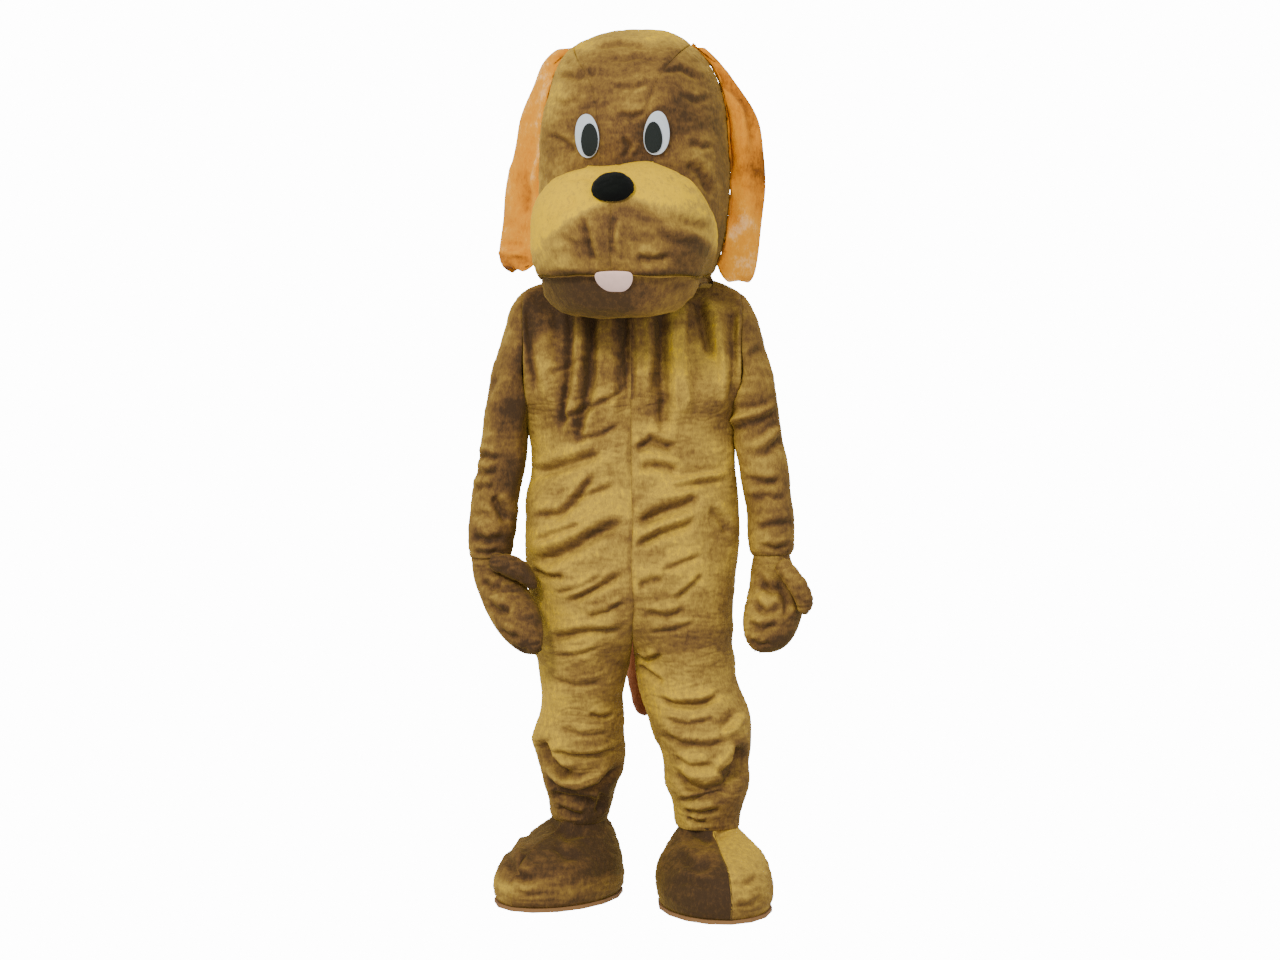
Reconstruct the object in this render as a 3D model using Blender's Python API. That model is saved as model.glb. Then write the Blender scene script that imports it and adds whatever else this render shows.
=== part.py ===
"""Dog mascot costume of long plush, hollow, in the pose it has when it is worn.

Metres, +Z up, the front faces -Y. The wearer's right side is at -X.
Heights in the tables are above the floor. The origin is at the wearer's shoulders.
"""
import math
from collections import namedtuple

import bmesh
import bpy
from mathutils import Matrix, Vector

# Driving sizes
SHOULDER_HEIGHT = 1.250
PLUSH = 0.003
HEAD_WALL = 0.012
FOOT_WALL = 0.008
SEAM_GAP = 0.0004
SEAT_GAP = 0.0009

# Finishes: colour, roughness
PLUSH_GOLD = ("plush_gold", (0.36, 0.235, 0.065), 0.85)
PLUSH_ORANGE = ("plush_orange", (0.62, 0.30, 0.09), 0.85)
TAIL_PLUSH = ("tail_plush", (0.38, 0.12, 0.055), 0.85)
NOSE_PLUSH = ("nose_plush", (0.012, 0.012, 0.012), 0.8)
FELT_PINK = ("felt_pink", (0.80, 0.52, 0.47), 0.9)
SATIN_WHITE = ("satin_white", (0.66, 0.72, 0.78), 0.45)
SATIN_BLACK = ("satin_black", (0.025, 0.035, 0.035), 0.4)
SOLE_CLOTH = ("sole_cloth", (0.20, 0.10, 0.035), 0.9)


def clear_scene():
    for item in list(bpy.data.objects):
        bpy.data.objects.remove(item, do_unlink=True)


def finish_material(finish):
    name, colour, roughness = finish
    found = bpy.data.materials.get(name)
    if found:
        return found
    material = bpy.data.materials.new(name)
    material.use_nodes = True
    shader = material.node_tree.nodes["Principled BSDF"]
    shader.inputs["Base Color"].default_value = (*colour, 1.0)
    shader.inputs["Roughness"].default_value = roughness
    shader.inputs["Metallic"].default_value = 0.0
    return material


def mix(a, b, amount):
    return a + (b - a) * amount


def smooth(amount):
    amount = min(1.0, max(0.0, amount))
    return amount * amount * (3.0 - 2.0 * amount)


def read_table(rows, column, key, value):
    """Smoothly reads one column of a table, between the rows on each side of a key value."""
    ordered = sorted(rows, key=lambda row: getattr(row, key))
    if value <= getattr(ordered[0], key):
        return getattr(ordered[0], column)
    for low, high in zip(ordered, ordered[1:]):
        span = getattr(high, key) - getattr(low, key)
        if value <= getattr(high, key):
            part = (value - getattr(low, key)) / span
            return mix(getattr(low, column), getattr(high, column), part)
    return getattr(ordered[-1], column)


def add_solid(name, points, faces, finish):
    """Makes one closed body of points given above the floor, with its faces pointing out."""
    mesh = bpy.data.meshes.new(name)
    mesh.from_pydata([(p.x, p.y, p.z - SHOULDER_HEIGHT) for p in points], [], faces)
    shape = bmesh.new()
    shape.from_mesh(mesh)
    bmesh.ops.triangulate(shape, faces=shape.faces[:])
    if shape.calc_volume(signed=True) < 0.0:
        bmesh.ops.reverse_faces(shape, faces=shape.faces[:])
    shape.to_mesh(mesh)
    shape.free()
    mesh.materials.append(finish_material(finish))
    mesh.shade_smooth()
    mesh.set_sharp_from_angle(angle=math.radians(50.0))
    solid = bpy.data.objects.new(name, mesh)
    bpy.context.scene.collection.objects.link(solid)
    return solid


def inset_seams(grid, edges):
    """Draws the named edges of a panel in by half a seam's gap."""
    rows = len(grid)
    columns = len(grid[0])
    pairs = {
        "first_row": [((0, j), (1, j)) for j in range(columns)],
        "last_row": [((rows - 1, j), (rows - 2, j)) for j in range(columns)],
        "first_column": [((i, 0), (i, 1)) for i in range(rows)],
        "last_column": [((i, columns - 1), (i, columns - 2)) for i in range(rows)],
    }
    for edge in edges:
        for (i, j), (k, l) in pairs[edge]:
            step = grid[k][l] - grid[i][j]
            if step.length > 0.0:
                grid[i][j] = grid[i][j] + step.normalized() * (SEAM_GAP / 2.0)


def cloth_wall(name, outer, inner, finish, wrap=False, seams=()):
    """Closes an outer and an inner grid of points into one wall of cloth."""
    for grid in (outer, inner):
        inset_seams(grid, seams)
    rows = len(outer)
    columns = len(outer[0])
    points = [p for row in outer for p in row] + [p for row in inner for p in row]
    skin = rows * columns

    def at(i, j, layer):
        return layer * skin + i * columns + j % columns

    last = columns if wrap else columns - 1
    faces = []
    for i in range(rows - 1):
        for j in range(last):
            quad = [(i, j), (i, j + 1), (i + 1, j + 1), (i + 1, j)]
            faces.append([at(a, b, 0) for a, b in quad])
            faces.append([at(a, b, 1) for a, b in reversed(quad)])
    for j in range(last):
        faces.append([at(0, j + 1, 0), at(0, j, 0), at(0, j, 1), at(0, j + 1, 1)])
        faces.append([at(rows - 1, j, 0), at(rows - 1, j + 1, 0),
                      at(rows - 1, j + 1, 1), at(rows - 1, j, 1)])
    if not wrap:
        for i in range(rows - 1):
            faces.append([at(i, 0, 0), at(i + 1, 0, 0), at(i + 1, 0, 1), at(i, 0, 1)])
            faces.append([at(i + 1, columns - 1, 0), at(i, columns - 1, 0),
                          at(i, columns - 1, 1), at(i + 1, columns - 1, 1)])
    return add_solid(name, points, faces, finish)


def toward(point, target, distance):
    return point + (target - point).normalized() * distance


# Jumpsuit. Each side of the body runs from the armhole to the leg's hem.
SIDES = {"right": -1.0, "left": 1.0}
NECK_HALF_WIDTH = 0.085
NECK_HALF_DEPTH = 0.090
NECK_SIDE_HEIGHT = 1.262
NECK_FRONT_HEIGHT = 1.222
ARMHOLE_X = 0.217
ARMHOLE_TOP = 1.222
ARMHOLE_LOW = 0.985
ARMHOLE_HALF_DEPTH = 0.078
CROTCH_HEIGHT = 0.488
CHEST_CENTRE_HEIGHT = 1.05
SHOULDER_ROWS = 8
SHOULDER_COLUMN = 4
PANEL_COLUMNS = 10

BodyRow = namedtuple("BodyRow", "height half_width half_depth cleft")
BODY = [
    BodyRow(0.985, 0.217, 0.118, 0.00),
    BodyRow(0.940, 0.206, 0.122, 0.00),
    BodyRow(0.890, 0.203, 0.127, 0.00),
    BodyRow(0.840, 0.207, 0.132, 0.00),
    BodyRow(0.795, 0.217, 0.137, 0.02),
    BodyRow(0.750, 0.220, 0.140, 0.06),
    BodyRow(0.700, 0.219, 0.141, 0.13),
    BodyRow(0.655, 0.212, 0.139, 0.24),
    BodyRow(0.610, 0.207, 0.134, 0.40),
    BodyRow(0.565, 0.204, 0.126, 0.60),
    BodyRow(0.530, 0.203, 0.118, 0.80),
    BodyRow(0.505, 0.203, 0.112, 0.95),
]
LegRow = namedtuple("LegRow", "height inner outer half_depth")
LEGS = {
    "right": [
        LegRow(0.488, 0.002, 0.197, 0.107), LegRow(0.450, 0.008, 0.190, 0.102),
        LegRow(0.415, 0.019, 0.184, 0.098), LegRow(0.385, 0.018, 0.187, 0.096),
        LegRow(0.355, 0.016, 0.194, 0.099), LegRow(0.325, 0.015, 0.200, 0.102),
        LegRow(0.300, 0.012, 0.199, 0.099), LegRow(0.275, 0.012, 0.194, 0.094),
        LegRow(0.250, 0.014, 0.190, 0.096), LegRow(0.225, 0.025, 0.185, 0.090),
        LegRow(0.200, 0.032, 0.178, 0.084), LegRow(0.175, 0.040, 0.171, 0.078),
        LegRow(0.150, 0.047, 0.167, 0.074),
    ],
    "left": [
        LegRow(0.488, 0.002, 0.209, 0.108), LegRow(0.450, 0.006, 0.209, 0.103),
        LegRow(0.415, 0.012, 0.222, 0.102), LegRow(0.385, 0.020, 0.238, 0.103),
        LegRow(0.355, 0.029, 0.244, 0.105), LegRow(0.325, 0.040, 0.246, 0.106),
        LegRow(0.300, 0.055, 0.245, 0.102), LegRow(0.275, 0.061, 0.238, 0.094),
        LegRow(0.250, 0.063, 0.236, 0.092), LegRow(0.225, 0.068, 0.233, 0.092),
        LegRow(0.200, 0.080, 0.228, 0.084), LegRow(0.175, 0.082, 0.222, 0.078),
        LegRow(0.150, 0.084, 0.220, 0.074),
    ],
}
LEG_SWING = {"right": 0.045, "left": -0.030}
HEM_HEIGHT = 0.150

# Largest folds, as soft ridges: x and height of both ends, reach to each side, and rise.
Fold = namedtuple("Fold", "x_a height_a x_b height_b reach rise")
FRONT_FOLDS = [
    Fold(-0.190, 1.19, -0.185, 1.02, 0.020, 0.007),
    Fold(-0.138, 1.20, -0.142, 0.97, 0.019, 0.010),
    Fold(-0.092, 1.20, -0.098, 0.95, 0.018, 0.010),
    Fold(-0.036, 1.20, -0.030, 0.96, 0.020, 0.009),
    Fold(0.046, 1.20, 0.052, 0.98, 0.018, 0.010),
    Fold(0.094, 1.20, 0.102, 0.97, 0.018, 0.009),
    Fold(0.160, 1.19, 0.150, 1.00, 0.022, 0.009),
    Fold(-0.190, 0.800, -0.050, 0.885, 0.020, 0.007),
    Fold(-0.180, 0.690, -0.030, 0.745, 0.020, 0.006),
    Fold(0.020, 0.735, 0.200, 0.830, 0.020, 0.007),
    Fold(0.030, 0.640, 0.190, 0.690, 0.018, 0.006),
    Fold(-0.190, 0.330, -0.030, 0.345, 0.017, 0.013),
    Fold(-0.180, 0.285, -0.045, 0.290, 0.014, 0.010),
    Fold(-0.170, 0.232, -0.050, 0.226, 0.015, 0.012),
    Fold(0.060, 0.355, 0.215, 0.385, 0.018, 0.014),
    Fold(0.085, 0.300, 0.215, 0.325, 0.016, 0.015),
    Fold(0.090, 0.235, 0.215, 0.240, 0.015, 0.012),
]
BACK_FOLDS = [
    Fold(-0.160, 1.19, -0.150, 0.99, 0.020, 0.008),
    Fold(-0.110, 1.20, -0.116, 0.96, 0.019, 0.009),
    Fold(-0.062, 1.20, -0.056, 0.98, 0.018, 0.008),
    Fold(0.058, 1.20, 0.066, 0.97, 0.019, 0.009),
    Fold(0.112, 1.20, 0.105, 0.98, 0.018, 0.009),
    Fold(0.165, 1.19, 0.160, 1.00, 0.020, 0.007),
    Fold(-0.180, 0.760, -0.060, 0.700, 0.020, 0.007),
    Fold(0.070, 0.690, 0.190, 0.770, 0.020, 0.007),
    Fold(-0.180, 0.335, -0.040, 0.325, 0.017, 0.012),
    Fold(-0.170, 0.250, -0.050, 0.262, 0.015, 0.010),
    Fold(0.075, 0.365, 0.220, 0.345, 0.017, 0.012),
    Fold(0.095, 0.270, 0.215, 0.255, 0.015, 0.011),
]


def fold_rise(point, folds):
    """Height of the folds at one point, read in the front view."""
    rise = 0.0
    spot = Vector((point.x, point.z))
    for fold in folds:
        start = Vector((fold.x_a, fold.height_a))
        along = Vector((fold.x_b, fold.height_b)) - start
        part = min(1.0, max(0.0, (spot - start).dot(along) / along.length_squared))
        away = (spot - start - along * part).length / fold.reach
        rise += fold.rise * math.exp(-away * away)
    return rise


def armhole_angle(row):
    return math.pi * row / (SHOULDER_ROWS - 1)


def armhole_point(sign, face, row):
    angle = armhole_angle(row)
    middle = (ARMHOLE_TOP + ARMHOLE_LOW) / 2.0
    half = (ARMHOLE_TOP - ARMHOLE_LOW) / 2.0
    return Vector((sign * ARMHOLE_X, face * ARMHOLE_HALF_DEPTH * math.sin(angle),
                   middle + half * math.cos(angle)))


def top_edge_point(sign, face, column):
    """A point of the shoulder seam, or past it of the neckline."""
    if column <= SHOULDER_COLUMN:
        part = column / SHOULDER_COLUMN
        x = mix(ARMHOLE_X, NECK_HALF_WIDTH, part)
        return Vector((sign * x, 0.0, mix(ARMHOLE_TOP, NECK_SIDE_HEIGHT, part)))
    part = (column - SHOULDER_COLUMN) / (PANEL_COLUMNS - 1 - SHOULDER_COLUMN)
    angle = part * math.pi / 2.0
    return Vector((sign * NECK_HALF_WIDTH * math.cos(angle), face * NECK_HALF_DEPTH * math.sin(angle),
                   mix(NECK_SIDE_HEIGHT, NECK_FRONT_HEIGHT, math.sin(angle))))


def shoulder_row(sign, face, row):
    """One row of points between the top edge and the underarm."""
    start = armhole_point(sign, face, row)
    down = (1.0 - math.cos(armhole_angle(row))) / 2.0
    chest = BODY[0]
    points = []
    for column in range(PANEL_COLUMNS):
        angle = column / (PANEL_COLUMNS - 1) * math.pi / 2.0
        top = top_edge_point(sign, face, column)
        full = Vector((start.x * math.cos(angle),
                       start.y + (face * chest.half_depth - start.y) * math.sin(angle),
                       mix(top.z, ARMHOLE_LOW, down)))
        part = math.sin(down * math.pi / 2.0) ** 0.7
        if row > 0:
            part = mix(1.0, part, smooth(column / SHOULDER_COLUMN))
        points.append(Vector((mix(top.x, full.x, part), mix(top.y, full.y, part), full.z)))
    points[0] = start
    return points


def body_row(sign, face, row):
    """One row from the side seam to the centre seam, with the cleft between the legs."""
    centre = row.half_width * row.cleft / 2.0
    radius = row.half_width - centre
    reach = math.acos(-centre / radius)
    points = []
    for column in range(PANEL_COLUMNS):
        angle = column / (PANEL_COLUMNS - 1) * reach
        points.append(Vector((sign * (centre + radius * math.cos(angle)),
                              face * row.half_depth * math.sin(angle), row.height)))
    return points


def leg_centre(side, row):
    drop = (CROTCH_HEIGHT - row.height) / (CROTCH_HEIGHT - HEM_HEIGHT)
    return Vector((SIDES[side] * (row.inner + row.outer) / 2.0, LEG_SWING[side] * smooth(drop), row.height))


def leg_row(side, face, row):
    centre = leg_centre(side, row)
    radius = (row.outer - row.inner) / 2.0
    points = []
    for column in range(PANEL_COLUMNS):
        angle = column / (PANEL_COLUMNS - 1) * math.pi
        points.append(centre + Vector((SIDES[side] * radius * math.cos(angle),
                                       face * row.half_depth * math.sin(angle), 0.0)))
    return points


def body_panel(side, face_name, face, folds):
    """One quarter of the jumpsuit, as a grid of rows, each moved out by the folds."""
    sign = SIDES[side]
    rows = []
    for row in range(SHOULDER_ROWS):
        target = Vector((0.0, 0.0, CHEST_CENTRE_HEIGHT))
        rows.append((shoulder_row(sign, face, row), target))
    for row in BODY[1:]:
        target = Vector((sign * row.half_width * row.cleft / 2.0, 0.0, row.height))
        rows.append((body_row(sign, face, row), target))
    for row in LEGS[side]:
        rows.append((leg_row(side, face, row), leg_centre(side, row)))
    outer = []
    inner = []
    for points, target in rows:
        raised = []
        hidden = []
        for column, point in enumerate(points):
            aim = Vector((target.x, target.y, min(point.z, target.z)))
            if point.z > ARMHOLE_LOW:
                aim.x = point.x * 0.35
            edge = column in (0, PANEL_COLUMNS - 1) or point.z > ARMHOLE_TOP
            rise = 0.0 if edge else fold_rise(point, folds)
            spot = toward(point, aim, -rise)
            raised.append(spot)
            hidden.append(toward(spot, aim, PLUSH))
        outer.append(raised)
        inner.append(hidden)
    cloth_wall(f"{face_name}_{side}", outer, inner, PLUSH_GOLD,
               seams=("first_row", "first_column", "last_column"))
    return outer


def build_jumpsuit():
    backs = {}
    for side in SIDES:
        body_panel(side, "front", -1.0, FRONT_FOLDS)
        backs[side] = body_panel(side, "back", 1.0, BACK_FOLDS)
    build_placket(backs["left"], backs["right"])


# Sleeves. Each ring joins a point under the arm to one over it.
ArmRow = namedtuple("ArmRow", "inner_x inner_height outer_x outer_height middle_y half_depth")
ARM = [
    ArmRow(0.2174, 0.985, 0.2174, 1.222, 0.000, 0.078),
    ArmRow(0.2210, 0.970, 0.2410, 1.190, -0.001, 0.078),
    ArmRow(0.2235, 0.945, 0.2600, 1.135, -0.003, 0.076),
    ArmRow(0.2250, 0.915, 0.2790, 1.075, -0.006, 0.072),
    ArmRow(0.2255, 0.880, 0.2920, 1.010, -0.010, 0.067),
    ArmRow(0.2260, 0.845, 0.3040, 0.945, -0.014, 0.062),
    ArmRow(0.2270, 0.810, 0.3130, 0.880, -0.018, 0.058),
    ArmRow(0.2290, 0.775, 0.3200, 0.820, -0.022, 0.055),
    ArmRow(0.2310, 0.740, 0.3250, 0.762, -0.026, 0.053),
    ArmRow(0.2330, 0.712, 0.3270, 0.718, -0.028, 0.051),
    ArmRow(0.2370, 0.693, 0.3240, 0.695, -0.030, 0.047),
]
ARM_COLUMNS = 2 * (SHOULDER_ROWS - 1)
# Creases across a sleeve: place along it, angle round it, and depth.
Crease = namedtuple("Crease", "row turn depth")
ARM_CREASES = [Crease(3, 0.2, 0.004), Crease(5, -0.5, 0.005), Crease(7, 0.6, 0.006)]


def arm_row(side, index, row):
    sign = SIDES[side]
    low = Vector((sign * row.inner_x, row.middle_y, row.inner_height))
    high = Vector((sign * row.outer_x, row.middle_y, row.outer_height))
    centre = (low + high) / 2.0
    points = []
    for column in range(ARM_COLUMNS):
        angle = math.tau * column / ARM_COLUMNS
        point = centre + (high - centre) * math.cos(angle)
        point.y -= row.half_depth * math.sin(angle)
        for crease in ARM_CREASES:
            if crease.row == index:
                dent = crease.depth * max(0.0, math.cos(angle - 1.2 - crease.turn))
                point = toward(point, centre, dent)
        points.append(point)
    return points, centre


def build_sleeves():
    for side in SIDES:
        outer = []
        inner = []
        for index, row in enumerate(ARM):
            points, centre = arm_row(side, index, row)
            outer.append(points)
            inner.append([toward(point, centre, PLUSH) for point in points])
        cloth_wall(f"sleeve_{side}", outer, inner, PLUSH_GOLD, wrap=True)


# Head. Its pieces are made in its own frame and turned a little to the wearer's right.
HEAD_X = 0.006
HEAD_TURN = math.radians(-7.5)
HEAD_CENTRE = Vector((0.0, 0.0, 1.440))
HEAD_HALF_WIDTH = 0.190
HEAD_HALF_DEPTH = 0.205
HEAD_TOP_HALF = 0.300
HEAD_LOW_HALF = 0.262
HEAD_POWER = 2.7
RIM_HALF_WIDTH = 0.150
RIM_SEAT_X = RIM_HALF_WIDTH - HEAD_WALL - HEAD_X + 0.005
RIM_HEIGHT = SEAT_GAP + mix(NECK_SIDE_HEIGHT, ARMHOLE_TOP,
                            (RIM_SEAT_X - NECK_HALF_WIDTH) / (ARMHOLE_X - NECK_HALF_WIDTH))


def turned(point):
    spot = Matrix.Rotation(HEAD_TURN, 3, "Z") @ point
    return spot + Vector((HEAD_X, 0.0, 0.0))


def turned_grid(grid):
    return [[turned(point) for point in row] for row in grid]


def head_share(value, half):
    return (abs(value) / half) ** HEAD_POWER


def head_half_height(rise):
    return HEAD_TOP_HALF if rise >= 0.0 else HEAD_LOW_HALF


def head_surface(direction, sink=0.0):
    """The head's surface along a direction from its centre, or a little under it."""
    aim = direction.normalized()
    total = (head_share(aim.x, HEAD_HALF_WIDTH) + head_share(aim.y, HEAD_HALF_DEPTH)
             + head_share(aim.z, head_half_height(aim.z)))
    return HEAD_CENTRE + aim * (total ** (-1.0 / HEAD_POWER) - sink)


def head_front(x, height):
    """Depth of the head's front at one place of its front view, or None beside it."""
    rise = max(height, RIM_HEIGHT) - HEAD_CENTRE.z
    left = 1.0 - head_share(x, HEAD_HALF_WIDTH) - head_share(rise, head_half_height(rise))
    return -HEAD_HALF_DEPTH * left ** (1.0 / HEAD_POWER) if left > 0.0 else None


def head_side(y, height):
    """Half width of the head at one depth and height."""
    rise = max(height, RIM_HEIGHT) - HEAD_CENTRE.z
    left = 1.0 - head_share(y, HEAD_HALF_DEPTH) - head_share(rise, head_half_height(rise))
    return HEAD_HALF_WIDTH * max(left, 0.0) ** (1.0 / HEAD_POWER)


def level_point(azimuth, height, sink=0.0):
    """The head's surface at one height, with the azimuth measured from its front."""
    flat = Vector((math.sin(azimuth), -math.cos(azimuth), 0.0))
    rise = height - HEAD_CENTRE.z
    round_part = head_share(flat.x, HEAD_HALF_WIDTH) + head_share(flat.y, HEAD_HALF_DEPTH)
    left = 1.0 - head_share(rise, head_half_height(rise))
    reach = (max(left, 0.0) / round_part) ** (1.0 / HEAD_POWER)
    return flat * (reach - sink) + Vector((0.0, 0.0, height))


def azimuth_of(aim):
    return math.atan2(aim.x, -aim.y) % math.tau


def front_aim(x, height):
    return Vector((x, head_front(x, height), height)) - HEAD_CENTRE


def along_path(points, count):
    """Evenly spaced samples of a path through a few points."""
    lengths = [(b - a).length for a, b in zip(points, points[1:])]
    total = sum(lengths)
    samples = []
    for index in range(count):
        left = total * index / (count - 1)
        for a, b, length in zip(points, points[1:], lengths):
            if left <= length or b is points[-1]:
                samples.append(a.lerp(b, min(1.0, left / length)))
                break
            left -= length
    return samples


HEAD_ROWS = 11
GUSSET_COLUMNS = 7
SIDE_COLUMNS = 8
SeamPoint = namedtuple("SeamPoint", "x height")
GUSSET_SEAM = [
    SeamPoint(0.042, RIM_HEIGHT), SeamPoint(0.042, 1.46), SeamPoint(0.045, 1.56),
    SeamPoint(0.060, 1.610), SeamPoint(0.084, 1.652), SeamPoint(0.106, 1.688),
]
CROWN_SEAM = [Vector((0.118, -0.020, 0.262)), Vector((0.112, 0.060, 0.255)), Vector((0.104, 0.120, 0.225))]
BACK_SEAM_LOW = Vector((0.118, 0.125, RIM_HEIGHT - HEAD_CENTRE.z))


def gusset_seam():
    path = [front_aim(p.x, p.height) for p in GUSSET_SEAM]
    path += [head_surface(aim) - HEAD_CENTRE for aim in CROWN_SEAM]
    return along_path(path, HEAD_ROWS)


def back_seam(top):
    middle = Vector((0.125, 0.160, 0.0))
    path = [BACK_SEAM_LOW, middle, top]
    return along_path([head_surface(aim) - HEAD_CENTRE for aim in path], HEAD_ROWS - 1)


def ruled_aims(starts, ends, columns):
    return [[a.lerp(b, j / (columns - 1)) for j in range(columns)] for a, b in zip(starts, ends)]


def level_aims(starts, ends, columns):
    """Rows of aims round the head, each from one seam to another at an even slope."""
    rows = []
    for start, end in zip(starts, ends):
        row = []
        for j in range(columns):
            part = j / (columns - 1)
            height = HEAD_CENTRE.z + mix(start.z, end.z, part)
            row.append(level_point(mix(azimuth_of(start), azimuth_of(end), part), height) - HEAD_CENTRE)
        rows.append(row)
    return rows


def mirrored(point):
    return Vector((-point.x, point.y, point.z))


def head_wall(name, aims, seams, flat_last=False):
    grids = []
    for sink in (0.0, HEAD_WALL):
        grid = [[head_surface(aim, sink) for aim in row] for row in aims]
        grid[0] = [level_point(azimuth_of(aim), RIM_HEIGHT, sink) for aim in aims[0]]
        if flat_last:
            ends = (grid[-1][0], grid[-1][-1])
            count = len(grid[-1]) - 1
            grid[-1] = [ends[0].lerp(ends[1], j / count) for j in range(count + 1)]
        grids.append(turned_grid(grid))
    cloth_wall(name, grids[0], grids[1], PLUSH_GOLD, seams=seams)


def build_head():
    seam = gusset_seam()
    rear = back_seam(seam[-1])
    across = ruled_aims([mirrored(aim) for aim in seam], seam, GUSSET_COLUMNS)
    behind = level_aims([mirrored(aim) for aim in rear], rear, GUSSET_COLUMNS)
    behind = [list(reversed(row)) for row in behind]
    across[-1] = list(reversed(behind[-1]))
    head_wall("head_gusset", across, ("first_column", "last_column", "last_row"))
    head_wall("head_back", behind, ("first_column", "last_column", "last_row"))
    side_aims = level_aims(seam[:-1], rear, SIDE_COLUMNS)
    head_wall("head_side_left", side_aims, ("first_column", "last_column", "last_row"), flat_last=True)
    flipped = [[mirrored(aim) for aim in row] for row in side_aims]
    head_wall("head_side_right", flipped, ("first_column", "last_column", "last_row"), flat_last=True)


# Muzzle, sewn on the front of the head
MUZZLE_CENTRE = Vector((0.0, -0.195, 1.322))
MUZZLE_HALF_WIDTH = 0.180
MUZZLE_HALF_DEPTH = 0.160
MUZZLE_HALF_HEIGHT = 0.140
MUZZLE_POWER = 2.4
MUZZLE_WALL = 0.010
CHIN_WALL = 0.004
MUZZLE_REAR = -0.060
MUZZLE_SEAT = 0.0030
MUZZLE_REACH = math.radians(100.0)
MOUTH_SLOPE = math.radians(-27.0)
MUZZLE_TOP_SLOPE = math.radians(62.0)
MUZZLE_TOP_RISE = 0.006
MUZZLE_FREE_SHARE = 0.86
MUZZLE_COLUMNS = 8
MUZZLE_ROWS = 7
CHIN_ROWS = 7
CHIN_REAR_DEPTH = -0.118
CHIN_REAR_HEIGHT = 1.236
CHIN_EDGE_SHARE = 0.80
CHIN_LOW_PLACE = 0.6
CHIN_LIFT_START = 0.5
CHIN_END_SHIFT = Vector((0.0, -0.014, -0.024))


def muzzle_surface(aim, sink=0.0):
    aim = aim.normalized()
    total = (abs(aim.x / MUZZLE_HALF_WIDTH) ** MUZZLE_POWER + abs(aim.y / MUZZLE_HALF_DEPTH) ** MUZZLE_POWER
             + abs(aim.z / MUZZLE_HALF_HEIGHT) ** MUZZLE_POWER)
    return MUZZLE_CENTRE + aim * (total ** (-1.0 / MUZZLE_POWER) - sink)


def muzzle_aim(turn, slope):
    return Vector((math.sin(turn) * math.cos(slope), -math.cos(turn) * math.cos(slope), math.sin(slope)))


def muzzle_clear(point):
    """True where a point of the muzzle is in front of the head, or beside it."""
    front = head_front(point.x, point.z)
    return front is None or point.y < front - MUZZLE_SEAT


def seated_on_head(point):
    """Moves a rim point back, or in from the side, to where it meets the head."""
    front = head_front(point.x, point.z)
    if front is not None and front < MUZZLE_REAR:
        return Vector((point.x, front - MUZZLE_SEAT, point.z))
    side = head_side(MUZZLE_REAR, point.z) + MUZZLE_SEAT
    return Vector((math.copysign(side, point.x), MUZZLE_REAR, point.z))


def muzzle_limit(slope):
    """How far round the muzzle runs at one slope before it meets the head."""
    turn = 0.0
    step = math.radians(1.0)
    while turn < MUZZLE_REACH and muzzle_clear(muzzle_surface(muzzle_aim(turn, slope))):
        turn += step
    return turn - step


def muzzle_row(slope, sink):
    """Points from the centre seam round to the head, on the wearer's left."""
    limit = muzzle_limit(slope)
    row = [muzzle_surface(muzzle_aim(limit * MUZZLE_FREE_SHARE * j / (MUZZLE_COLUMNS - 2), slope), sink)
           for j in range(MUZZLE_COLUMNS - 1)]
    row = [p if muzzle_clear(p) else seated_on_head(p) for p in row]
    rim = muzzle_surface(muzzle_aim(limit, slope))
    rim.x *= 0.985
    seat = seated_on_head(rim)
    if sink > 0.0:
        seat = seated_on_head(toward(seat, MUZZLE_CENTRE, sink))
        if seat.y > MUZZLE_REAR - MUZZLE_SEAT:
            seat.y = MUZZLE_REAR - sink
    row.append(seat)
    return row


def muzzle_top_row(sink):
    """The last row again, carried straight back to the head."""
    row = muzzle_row(MUZZLE_TOP_SLOPE, sink)
    return [seated_on_head(Vector((point.x * 0.95, point.y, point.z + MUZZLE_TOP_RISE))) for point in row]


def flipped_grid(grid):
    return [[mirrored(point) for point in row] for row in grid]


def build_muzzle():
    grids = []
    for sink in (0.0, MUZZLE_WALL):
        slopes = [mix(MOUTH_SLOPE, MUZZLE_TOP_SLOPE, i / (MUZZLE_ROWS - 1)) for i in range(MUZZLE_ROWS)]
        grid = [muzzle_row(slope, sink) for slope in slopes]
        grid.append(muzzle_top_row(sink))
        grids.append(grid)
    seams = ("first_row", "first_column")
    cloth_wall("muzzle_left", turned_grid(grids[0]), turned_grid(grids[1]), PLUSH_GOLD, seams=seams)
    right = [flipped_grid(grid) for grid in grids]
    cloth_wall("muzzle_right", turned_grid(right[0]), turned_grid(right[1]), PLUSH_GOLD, seams=seams)
    half = muzzle_row(MOUTH_SLOPE, 0.0)
    outer = chin_grid([mirrored(p) for p in reversed(half[1:])] + half)
    half = muzzle_row(MOUTH_SLOPE, MUZZLE_WALL)
    inner = [[mirrored(p) for p in reversed(half[1:])] + half]
    inner += [[toward(point, MUZZLE_CENTRE, CHIN_WALL) for point in row] for row in outer[1:]]
    cloth_wall("muzzle_chin", turned_grid(outer), turned_grid(inner), PLUSH_GOLD, seams=("first_row",))


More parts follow.
